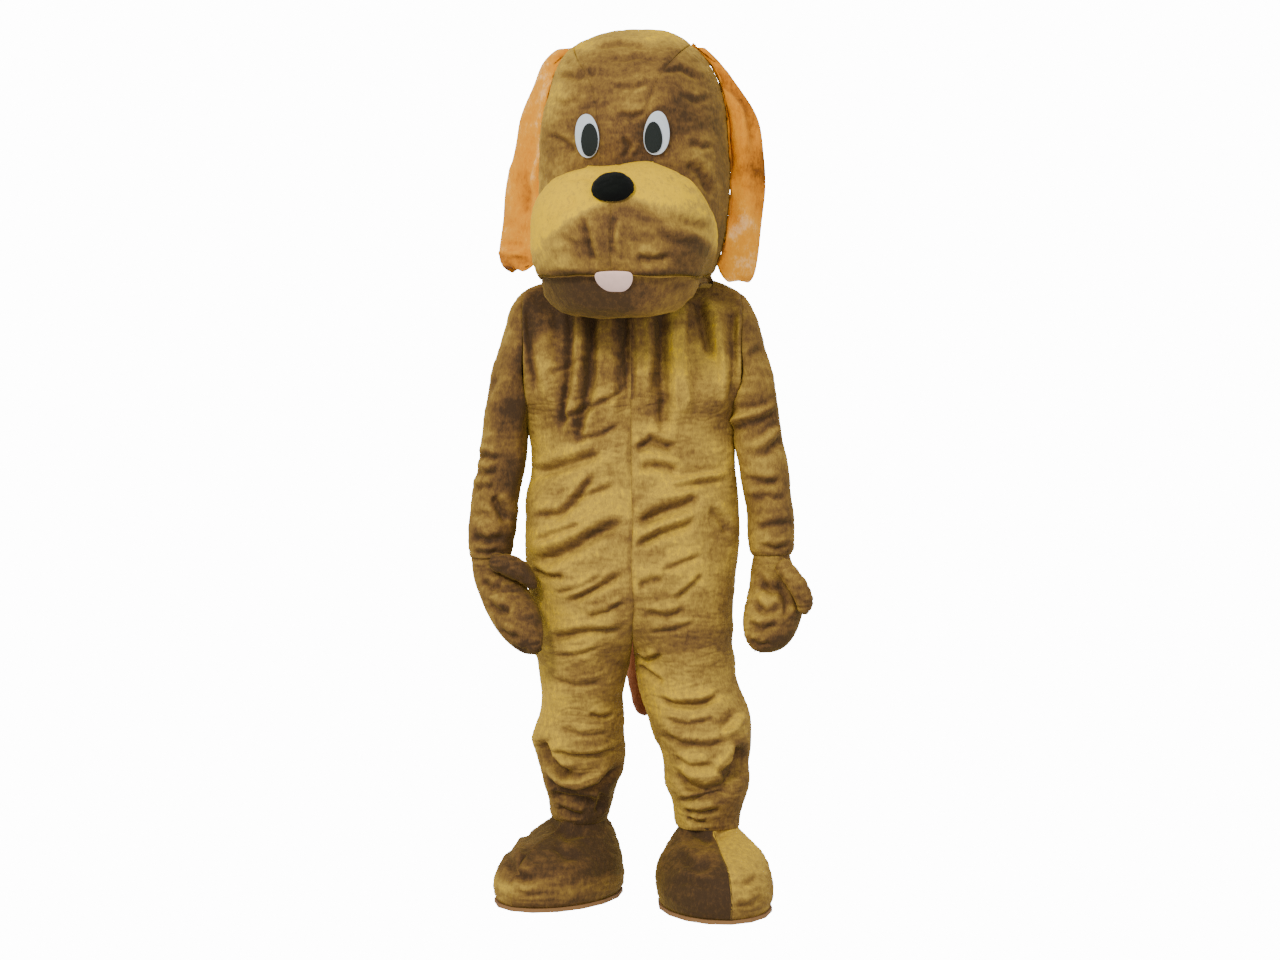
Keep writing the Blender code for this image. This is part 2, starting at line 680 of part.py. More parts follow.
def chin_grid(mouth):
    """Rows from the mouth line under the muzzle and up to the throat."""
    count = len(mouth)
    grid = [list(mouth)] + [[] for i in range(1, CHIN_ROWS)]
    for j, point in enumerate(mouth):
        edge = abs(2.0 * j / (count - 1) - 1.0)
        lift = smooth((edge - CHIN_LIFT_START) / (1.0 - CHIN_LIFT_START))
        drop = MUZZLE_HALF_HEIGHT * mix(1.0, CHIN_EDGE_SHARE, edge ** 3)
        low = Vector((point.x * 0.90, mix(point.y, MUZZLE_CENTRE.y, 0.62), MUZZLE_CENTRE.z - drop))
        low = low.lerp(point + CHIN_END_SHIFT / 2.0, lift)
        rear = Vector((point.x * 0.76, CHIN_REAR_DEPTH, CHIN_REAR_HEIGHT))
        rear = rear.lerp(point + CHIN_END_SHIFT, lift)
        for i in range(1, CHIN_ROWS):
            part = i / (CHIN_ROWS - 1)
            chord = point.lerp(low, min(1.0, part / CHIN_LOW_PLACE))
            spot = muzzle_surface(chord - MUZZLE_CENTRE).lerp(chord, lift)
            if part > CHIN_LOW_PLACE:
                spot = spot.lerp(rear, (part - CHIN_LOW_PLACE) / (1.0 - CHIN_LOW_PLACE))
            grid[i].append(spot)
    return grid


# Face pieces, each a shaped disc that follows the panel under it
DISC_SEGMENTS = 16


def add_disc(name, surface, outline, lift, thickness, dome, finish, rings=2):
    """surface(u, v) gives a place and its outward direction; outline(angle) gives u and v."""
    points = []
    for level in (0, 1):
        for ring in range(rings, 0, -1):
            part = ring / rings
            for step in range(DISC_SEGMENTS):
                u, v = outline(math.tau * step / DISC_SEGMENTS)
                centre_u, centre_v = outline(None)
                spot, out = surface(mix(centre_u, u, part), mix(centre_v, v, part))
                rise = lift + level * (thickness + dome * math.sqrt(1.0 - part * part))
                points.append(turned(spot + out * rise))
        centre_u, centre_v = outline(None)
        spot, out = surface(centre_u, centre_v)
        points.append(turned(spot + out * (lift + level * (thickness + dome))))
    size = rings * DISC_SEGMENTS + 1
    faces = []
    for step in range(DISC_SEGMENTS):
        after = (step + 1) % DISC_SEGMENTS
        for level in (0, 1):
            base = level * size
            strips = []
            for ring in range(rings - 1):
                here = base + ring * DISC_SEGMENTS
                deeper = here + DISC_SEGMENTS
                strips.append([here + step, here + after, deeper + after, deeper + step])
            here = base + (rings - 1) * DISC_SEGMENTS
            strips.append([here + step, here + after, base + size - 1])
            faces += strips if level else [list(reversed(face)) for face in strips]
        faces.append([step, after, size + after, size + step])
    return add_solid(name, points, faces, finish)


def oval(u, v, half_u, half_v, tilt=0.0):
    def outline(angle):
        if angle is None:
            return u, v
        a = half_u * math.cos(angle)
        b = half_v * math.sin(angle)
        return u + a * math.cos(tilt) - b * math.sin(tilt), v + a * math.sin(tilt) + b * math.cos(tilt)
    return outline


def face_spot(x, height):
    """A place on the front of the head and its outward direction."""
    spot = Vector((x, head_front(x, height), height))
    across = Vector((x + 0.004, head_front(x + 0.004, height), height)) - spot
    up = Vector((x, head_front(x, height + 0.004), height + 0.004)) - spot
    return spot, across.cross(up).normalized()


def muzzle_spot(x, height):
    """A place on the front of the muzzle and its outward direction."""
    def place(a, b):
        share = (abs(a / MUZZLE_HALF_WIDTH) ** MUZZLE_POWER
                 + abs((b - MUZZLE_CENTRE.z) / MUZZLE_HALF_HEIGHT) ** MUZZLE_POWER)
        reach = (1.0 - share) ** (1.0 / MUZZLE_POWER)
        return Vector((a, MUZZLE_CENTRE.y - MUZZLE_HALF_DEPTH * reach, b))
    spot = place(x, height)
    return spot, (place(x + 0.004, height) - spot).cross(place(x, height + 0.004) - spot).normalized()


EYE_X = 0.068
EYE_HEIGHT = 1.515
SATIN = 0.0012
TONGUE_X = 0.005
TONGUE_HEIGHT = 1.247
TONGUE_HALF_WIDTH = 0.037
TONGUE_TOP = 0.010
TONGUE_DROP = 0.034
TONGUE_LIFT = 0.0009


def tongue_outline(angle):
    """A D with a nearly flat top."""
    if angle is None:
        return TONGUE_X, TONGUE_HEIGHT
    rise = math.sin(angle)
    reach = TONGUE_TOP * rise ** 0.4 if rise > 0.0 else TONGUE_DROP * rise
    return TONGUE_X + TONGUE_HALF_WIDTH * math.cos(angle), TONGUE_HEIGHT + reach


def build_face():
    for side, sign in SIDES.items():
        white = oval(sign * EYE_X, EYE_HEIGHT, 0.0255, 0.043, -sign * 0.10)
        add_disc(f"eye_white_{side}", face_spot, white, SEAM_GAP, SATIN, 0.001, SATIN_WHITE)
        pupil = oval(sign * (EYE_X - 0.006), EYE_HEIGHT - 0.008, 0.0175, 0.031, 0.0)
        add_disc(f"pupil_{side}", face_spot, pupil, SATIN + 3.0 * SEAM_GAP + 0.001, SATIN, 0.0015, SATIN_BLACK)
    add_disc("nose", muzzle_spot, oval(0.004, 1.404, 0.040, 0.028), SEAM_GAP, 0.004, 0.020, NOSE_PLUSH, rings=4)
    add_disc("tongue", muzzle_spot, tongue_outline, TONGUE_LIFT, 0.003, 0.001, FELT_PINK, rings=3)


# Ears. Each has a front and a back layer, wider towards its round tip.
EarRow = namedtuple("EarRow", "height inner outer swing")
EARS = {
    "right": [
        EarRow(1.702, 0.128, 0.176, 0.000), EarRow(1.670, 0.156, 0.208, 0.004),
        EarRow(1.626, 0.174, 0.234, 0.010), EarRow(1.570, 0.186, 0.254, 0.014),
        EarRow(1.506, 0.192, 0.268, 0.018), EarRow(1.442, 0.193, 0.282, 0.022),
        EarRow(1.378, 0.197, 0.294, 0.026), EarRow(1.324, 0.206, 0.300, 0.028),
        EarRow(1.288, 0.212, 0.300, 0.028), EarRow(1.268, 0.226, 0.290, 0.026),
        EarRow(1.260, 0.240, 0.276, 0.026),
    ],
    "left": [
        EarRow(1.702, 0.128, 0.164, 0.000), EarRow(1.665, 0.158, 0.194, 0.004),
        EarRow(1.620, 0.178, 0.226, 0.010), EarRow(1.570, 0.187, 0.258, 0.014),
        EarRow(1.514, 0.192, 0.270, 0.018), EarRow(1.440, 0.193, 0.272, 0.022),
        EarRow(1.375, 0.190, 0.268, 0.024), EarRow(1.310, 0.188, 0.260, 0.026),
        EarRow(1.270, 0.196, 0.254, 0.026), EarRow(1.250, 0.206, 0.250, 0.026),
        EarRow(1.242, 0.216, 0.242, 0.026),
    ],
}
EAR_COLUMNS = 5
EAR_PUFF = 0.009
EAR_CLEARANCE = 0.0025
EAR_DEPTH = 0.020
EAR_SPREAD = 2.2


def build_ears():
    for side, sign in SIDES.items():
        layers = {"front": [[], []], "back": [[], []]}
        for index, row in enumerate(EARS[side]):
            clear = SEAT_GAP if index == 0 else EAR_CLEARANCE
            beside = max(row.inner, head_side(0.0, row.height) + clear)
            base = Vector((sign * beside, EAR_DEPTH - row.swing, row.height))
            tip = Vector((sign * row.outer, EAR_DEPTH + row.swing * EAR_SPREAD, row.height))
            out = (tip - base).normalized()
            front = Vector((out.y, -out.x, 0.0)) * sign
            narrow = min(1.0, (row.outer - row.inner) / 0.07)
            sheets = [[], [], [], []]
            for j in range(EAR_COLUMNS):
                part = j / (EAR_COLUMNS - 1)
                puff = EAR_PUFF * math.sin(math.pi * part) * narrow
                lifts = (puff + PLUSH + SEAM_GAP, puff + SEAM_GAP,
                         -puff - SEAM_GAP, -puff - PLUSH - SEAM_GAP)
                for sheet, lift in zip(sheets, lifts):
                    sheet.append(turned(base.lerp(tip, part) + front * lift))
            layers["front"][0].append(sheets[0])
            layers["front"][1].append(sheets[1])
            layers["back"][0].append(sheets[3])
            layers["back"][1].append(sheets[2])
        for face, (outside, inside) in layers.items():
            cloth_wall(f"ear_{face}_{side}", outside, inside, PLUSH_ORANGE)


# Mitts. The hand hangs from the sleeve's hem, in front of the hip.
MittRow = namedtuple("MittRow", "x y height half_width half_depth")
MITTS = {
    "right": [
        MittRow(0.2805, -0.030, 0.7060, 0.0385, 0.0420), MittRow(0.2805, -0.030, 0.6880, 0.0385, 0.0420),
        MittRow(0.2760, -0.038, 0.666, 0.0450, 0.043),
        MittRow(0.2660, -0.052, 0.640, 0.0480, 0.043), MittRow(0.2520, -0.074, 0.612, 0.0500, 0.042),
        MittRow(0.2360, -0.098, 0.587, 0.0500, 0.040), MittRow(0.2190, -0.120, 0.564, 0.0470, 0.037),
        MittRow(0.2030, -0.136, 0.543, 0.0400, 0.031), MittRow(0.1900, -0.146, 0.526, 0.0270, 0.021),
        MittRow(0.1820, -0.150, 0.516, 0.0090, 0.008),
    ],
    "left": [
        MittRow(0.2805, -0.030, 0.7060, 0.0385, 0.0420), MittRow(0.2805, -0.030, 0.6880, 0.0385, 0.0420),
        MittRow(0.2810, -0.038, 0.666, 0.0460, 0.044),
        MittRow(0.2830, -0.050, 0.640, 0.0520, 0.046), MittRow(0.2830, -0.062, 0.612, 0.0570, 0.048),
        MittRow(0.2790, -0.074, 0.584, 0.0600, 0.048), MittRow(0.2710, -0.084, 0.558, 0.0570, 0.045),
        MittRow(0.2610, -0.092, 0.534, 0.0480, 0.038), MittRow(0.2530, -0.097, 0.516, 0.0320, 0.026),
        MittRow(0.2490, -0.099, 0.506, 0.0100, 0.009),
    ],
}
# A thumb lies on the front of its mitt: place along the mitt, turn round it in degrees, radius.
ThumbRow = namedtuple("ThumbRow", "place turn radius")
THUMBS = {
    "right": [
        ThumbRow(2.1, 95.0, 0.018), ThumbRow(2.8, 115.0, 0.023), ThumbRow(3.6, 135.0, 0.025),
        ThumbRow(4.3, 153.0, 0.022), ThumbRow(4.8, 166.0, 0.011),
    ],
    "left": [
        ThumbRow(2.4, 100.0, 0.018), ThumbRow(3.1, 113.0, 0.022), ThumbRow(3.8, 126.0, 0.023),
        ThumbRow(4.4, 137.0, 0.020), ThumbRow(4.9, 145.0, 0.010),
    ],
}
THUMB_CLEARANCE = 0.0004
THUMB_COLUMNS = 10
MITT_COLUMNS = 7


def tube_rings(side, table, level_rows=1):
    """Centres of a tube, with its sideways and its frontal radius, square to its path."""
    sign = SIDES[side]
    centres = [Vector((sign * row.x, row.y, row.height)) for row in table]
    rings = []
    for index, row in enumerate(table):
        before = centres[max(index - 1, 0)]
        after = centres[min(index + 1, len(centres) - 1)]
        along = (after - before).normalized()
        if index < level_rows:
            along = Vector((0.0, 0.0, -1.0))
        across = along.cross(Vector((0.0, -1.0, 0.0))).normalized()
        front = across.cross(along).normalized()
        rings.append((centres[index], across * row.half_width, front * row.half_depth))
    return rings


def ring_point(ring, angle, sink=0.0):
    centre, across, front = ring
    spot = centre + across * math.cos(angle) + front * math.sin(angle)
    return toward(spot, centre, sink)


def ring_between(rings, place):
    index = min(int(place), len(rings) - 2)
    part = place - index
    return tuple(a.lerp(b, part) for a, b in zip(rings[index], rings[index + 1]))


def thumb_rings(mitt, table):
    """Rings of a thumb whose back just touches the mitt that it lies on."""
    centres = []
    for row in table:
        ring = ring_between(mitt, row.place)
        spot = ring_point(ring, math.radians(row.turn))
        out = (spot - ring[0]).normalized()
        centres.append((spot + out * (row.radius + THUMB_CLEARANCE), out))
    rings = []
    for index, row in enumerate(table):
        centre, out = centres[index]
        along = centres[min(index + 1, len(table) - 1)][0] - centres[max(index - 1, 0)][0]
        across = along.cross(out).normalized()
        rings.append((centre, across * row.radius, along.cross(across).normalized() * row.radius))
    return rings


def build_mitts():
    for side in SIDES:
        rings = tube_rings(side, MITTS[side], level_rows=2)
        for face, start in (("back", 0.0), ("palm", math.pi)):
            grids = []
            for sink in (0.0, PLUSH):
                grids.append([[ring_point(ring, start + math.pi * j / (MITT_COLUMNS - 1), sink)
                               for j in range(MITT_COLUMNS)] for ring in rings])
            cloth_wall(f"mitt_{face}_{side}", grids[0], grids[1], PLUSH_GOLD,
                       seams=("first_column", "last_column"))
        rings = thumb_rings(rings, THUMBS[side])
        grids = []
        for sink in (0.0, PLUSH):
            grids.append([[ring_point(ring, math.tau * j / THUMB_COLUMNS, sink)
                           for j in range(THUMB_COLUMNS)] for ring in rings])
        cloth_wall(f"mitt_thumb_{side}", grids[0], grids[1], PLUSH_GOLD, wrap=True)


# Foot covers. Each is a soft dome in two halves on a flat sole.
FootRow = namedtuple("FootRow", "height half_length half_width back_shift")
FOOT = [
    FootRow(0.0083, 0.157, 0.112, 0.000), FootRow(0.028, 0.164, 0.119, 0.000),
    FootRow(0.056, 0.163, 0.119, 0.002), FootRow(0.084, 0.150, 0.112, 0.009),
    FootRow(0.107, 0.128, 0.099, 0.022), FootRow(0.125, 0.103, 0.082, 0.040),
    FootRow(0.139, 0.076, 0.066, 0.060),
]
FOOT_COLUMNS = 9
ANKLE_SHIFT = 0.070
COLLAR_HEIGHTS = (0.149, 0.166)
COLLAR_SLACK = 0.0018
SOLE_THICKNESS = 0.008
FOOT_TURN = {"right": math.radians(-35.0), "left": math.radians(10.0)}


def foot_point(side, row, turn, sink=0.0):
    """A point round one foot cover, with the turn measured from its toe."""
    hem = LEGS[side][-1]
    ankle = leg_centre(side, hem)
    ahead = Vector((math.sin(FOOT_TURN[side]), -math.cos(FOOT_TURN[side]), 0.0))
    beside = Vector((-ahead.y, ahead.x, 0.0))
    centre = Vector((ankle.x, ankle.y, 0.0)) + ahead * (ANKLE_SHIFT - row.back_shift)
    centre.z = row.height
    spot = centre + ahead * row.half_length * math.cos(turn) + beside * row.half_width * math.sin(turn)
    aim = Vector((centre.x, centre.y, min(row.height, 0.040)))
    return toward(spot, aim, sink)


def collar_point(side, height, turn, sink=0.0):
    """A point of the ankle collar, which stands just inside the leg's hem."""
    hem = LEGS[side][-1]
    ankle = leg_centre(side, hem)
    slack = PLUSH + COLLAR_SLACK + sink
    angle = FOOT_TURN[side] + turn
    way = Vector((math.sin(angle), -math.cos(angle), 0.0))
    half_width = (hem.outer - hem.inner) / 2.0 - slack
    reach = 1.0 / math.hypot(way.x / half_width, way.y / (hem.half_depth - slack))
    return Vector((ankle.x, ankle.y, height)) + way * reach


def build_feet():
    for side, sign in SIDES.items():
        for half, way in (("outer", sign), ("inner", -sign)):
            turns = [way * math.pi * j / (FOOT_COLUMNS - 1) for j in range(FOOT_COLUMNS)]
            grids = []
            for sink in (0.0, FOOT_WALL):
                grid = [[foot_point(side, row, turn, sink) for turn in turns] for row in FOOT]
                grid += [[collar_point(side, height, turn, sink) for turn in turns]
                         for height in COLLAR_HEIGHTS]
                grids.append(grid)
            cloth_wall(f"foot_{half}_{side}", grids[0], grids[1], PLUSH_GOLD,
                       seams=("first_column", "last_column"))
        count = 2 * (FOOT_COLUMNS - 1)
        base = [foot_point(side, FOOT[0], math.tau * j / count) for j in range(count)]
        low = [Vector((p.x, p.y, 0.0)) for p in base]
        high = [Vector((p.x, p.y, SOLE_THICKNESS)) for p in base]
        faces = [list(reversed(range(count))), list(range(count, 2 * count))]
        faces += [[j, (j + 1) % count, count + (j + 1) % count, count + j] for j in range(count)]
        add_solid(f"foot_sole_{side}", low + high, faces, SOLE_CLOTH)


# Tail, a stuffed tube that hangs from the centre-back seam
TAIL = [
    MittRow(0.018, 0.150, 0.610, 0.026, 0.024), MittRow(0.018, 0.180, 0.585, 0.030, 0.028),
    MittRow(0.018, 0.196, 0.545, 0.032, 0.030), MittRow(0.018, 0.200, 0.500, 0.033, 0.031),
    MittRow(0.018, 0.198, 0.455, 0.033, 0.031), MittRow(0.019, 0.192, 0.412, 0.032, 0.030),
    MittRow(0.021, 0.184, 0.374, 0.028, 0.026), MittRow(0.024, 0.178, 0.345, 0.018, 0.017),
]
TAIL_COLUMNS = 12
TAIL_TIP = Vector((0.026, 0.175, 0.334))


def back_depth(x, height):
    row_half = read_table(BODY, "half_width", "height", height)
    cleft = read_table(BODY, "cleft", "height", height)
    centre = row_half * cleft / 2.0
    share = (abs(x) - centre) / (row_half - centre)
    return read_table(BODY, "half_depth", "height", height) * math.sqrt(max(0.0, 1.0 - share * share))


def build_tail():
    points = []
    for index, ring in enumerate(tube_rings("left", TAIL)):
        centre, across, front = ring
        if index == 0:
            across = Vector((-TAIL[0].half_width, 0.0, 0.0))
            front = Vector((0.0, 0.0, -TAIL[0].half_depth))
        for j in range(TAIL_COLUMNS):
            spot = ring_point((centre, across, front), math.tau * j / TAIL_COLUMNS)
            if index == 0:
                spot.y = back_depth(spot.x, spot.z) + SEAT_GAP
            points.append(spot)
    rings = len(TAIL)
    root = Vector((TAIL[0].x, back_depth(TAIL[0].x, TAIL[0].height) + SEAT_GAP, TAIL[0].height))
    points += [root, TAIL_TIP]
    faces = []
    for j in range(TAIL_COLUMNS):
        after = (j + 1) % TAIL_COLUMNS
        for i in range(rings - 1):
            here = i * TAIL_COLUMNS
            faces.append([here + j, here + after, here + TAIL_COLUMNS + after, here + TAIL_COLUMNS + j])
        end = (rings - 1) * TAIL_COLUMNS
        faces.append([after, j, rings * TAIL_COLUMNS])
        faces.append([end + j, end + after, rings * TAIL_COLUMNS + 1])
    add_solid("tail", points, faces, TAIL_PLUSH)


# Neckband, a short standing ring inside the head's opening
NECKBAND_HEIGHT = 0.026
NECKBAND_COLUMNS = 16


def build_neckband():
    grids = []
    for sink in (0.0, PLUSH):
        grid = []
        for lift in (SEAM_GAP, NECKBAND_HEIGHT / 2.0, NECKBAND_HEIGHT):
            row = []
            for j in range(NECKBAND_COLUMNS):
                angle = math.tau * j / NECKBAND_COLUMNS
                base = mix(NECK_SIDE_HEIGHT, NECK_FRONT_HEIGHT, abs(math.sin(angle)))
                row.append(Vector(((NECK_HALF_WIDTH - sink) * math.cos(angle),
                                   (NECK_HALF_DEPTH - sink) * math.sin(angle), base + lift)))
            grid.append(row)
        grids.append(grid)
    cloth_wall("neckband", grids[0], grids[1], PLUSH_GOLD, wrap=True)


PLACKET_REACH = 0.55
PLACKET_LAST_ROW = 12


def build_placket(left, right):
    """A strip over the centre-back opening, made from the points of the two back panels."""
    outer = []
    inner = []
    for row_left, row_right in zip(left[1:PLACKET_LAST_ROW], right[1:PLACKET_LAST_ROW]):
        spots = [row_right[-1].lerp(row_right[-2], PLACKET_REACH), (row_left[-1] + row_right[-1]) / 2.0,
                 row_left[-1].lerp(row_left[-2], PLACKET_REACH)]
        out = Vector((0.0, SEAT_GAP, 0.0))
        inner.append([spot + out for spot in spots])
        outer.append([spot + out * (1.0 + PLUSH / SEAT_GAP) for spot in spots])
    cloth_wall("back_placket", outer, inner, PLUSH_GOLD)


def main():
    clear_scene()
    build_jumpsuit()
    build_sleeves()
    build_neckband()
    build_head()
    build_muzzle()
    build_face()
    build_ears()
    build_mitts()
    build_feet()
    build_tail()


main()
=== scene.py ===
import math
from collections import namedtuple

import bmesh
import bpy
import numpy as np
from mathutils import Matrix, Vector, noise
from mathutils.bvhtree import BVHTree
from mathutils.kdtree import KDTree


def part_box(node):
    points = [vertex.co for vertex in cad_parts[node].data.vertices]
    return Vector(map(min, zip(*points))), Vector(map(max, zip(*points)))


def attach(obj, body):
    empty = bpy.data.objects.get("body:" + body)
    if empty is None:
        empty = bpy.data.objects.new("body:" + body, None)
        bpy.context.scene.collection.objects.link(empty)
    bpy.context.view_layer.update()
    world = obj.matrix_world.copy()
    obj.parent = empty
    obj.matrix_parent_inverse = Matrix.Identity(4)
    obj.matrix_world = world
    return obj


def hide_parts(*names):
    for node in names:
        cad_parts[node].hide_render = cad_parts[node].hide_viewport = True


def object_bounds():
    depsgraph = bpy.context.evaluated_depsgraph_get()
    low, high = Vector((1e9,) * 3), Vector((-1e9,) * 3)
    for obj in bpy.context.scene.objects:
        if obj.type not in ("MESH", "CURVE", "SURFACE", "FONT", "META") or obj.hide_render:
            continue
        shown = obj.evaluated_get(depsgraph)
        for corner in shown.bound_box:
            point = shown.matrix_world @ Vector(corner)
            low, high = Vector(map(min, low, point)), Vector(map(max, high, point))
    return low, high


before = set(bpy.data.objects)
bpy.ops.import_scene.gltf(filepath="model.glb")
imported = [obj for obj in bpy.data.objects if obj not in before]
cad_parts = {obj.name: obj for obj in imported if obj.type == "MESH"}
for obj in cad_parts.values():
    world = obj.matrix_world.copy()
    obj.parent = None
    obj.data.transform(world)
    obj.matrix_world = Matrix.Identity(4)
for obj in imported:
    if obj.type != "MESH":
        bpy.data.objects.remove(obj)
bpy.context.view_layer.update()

# The frame's origin is at the shoulders. Heights in the tables below are above the floor.
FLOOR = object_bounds()[0][2]
WELD = 0.00002
CREASE_GAIN = 1.35
WARP = 0.0065
WARP_SCALE = 11.0
FOLD_LIMIT = math.radians(52.0)
RIM_FOLD = math.radians(60.0)
RIM_WIDTH = 0.0034
SEAM_REACH = 0.0008
SEAM_STRAIGHTNESS = 0.45
CLOTH_RIM = 0.003
FOAM_RIM = 0.010
SIDES = {"right": -1.0, "left": 1.0}


# Creases, listed one by one. A row gives x and height of points along it,
# its half width and its depth in metres. A depth below zero is a raised ridge.
Crease = namedtuple("Crease", "points width depth")

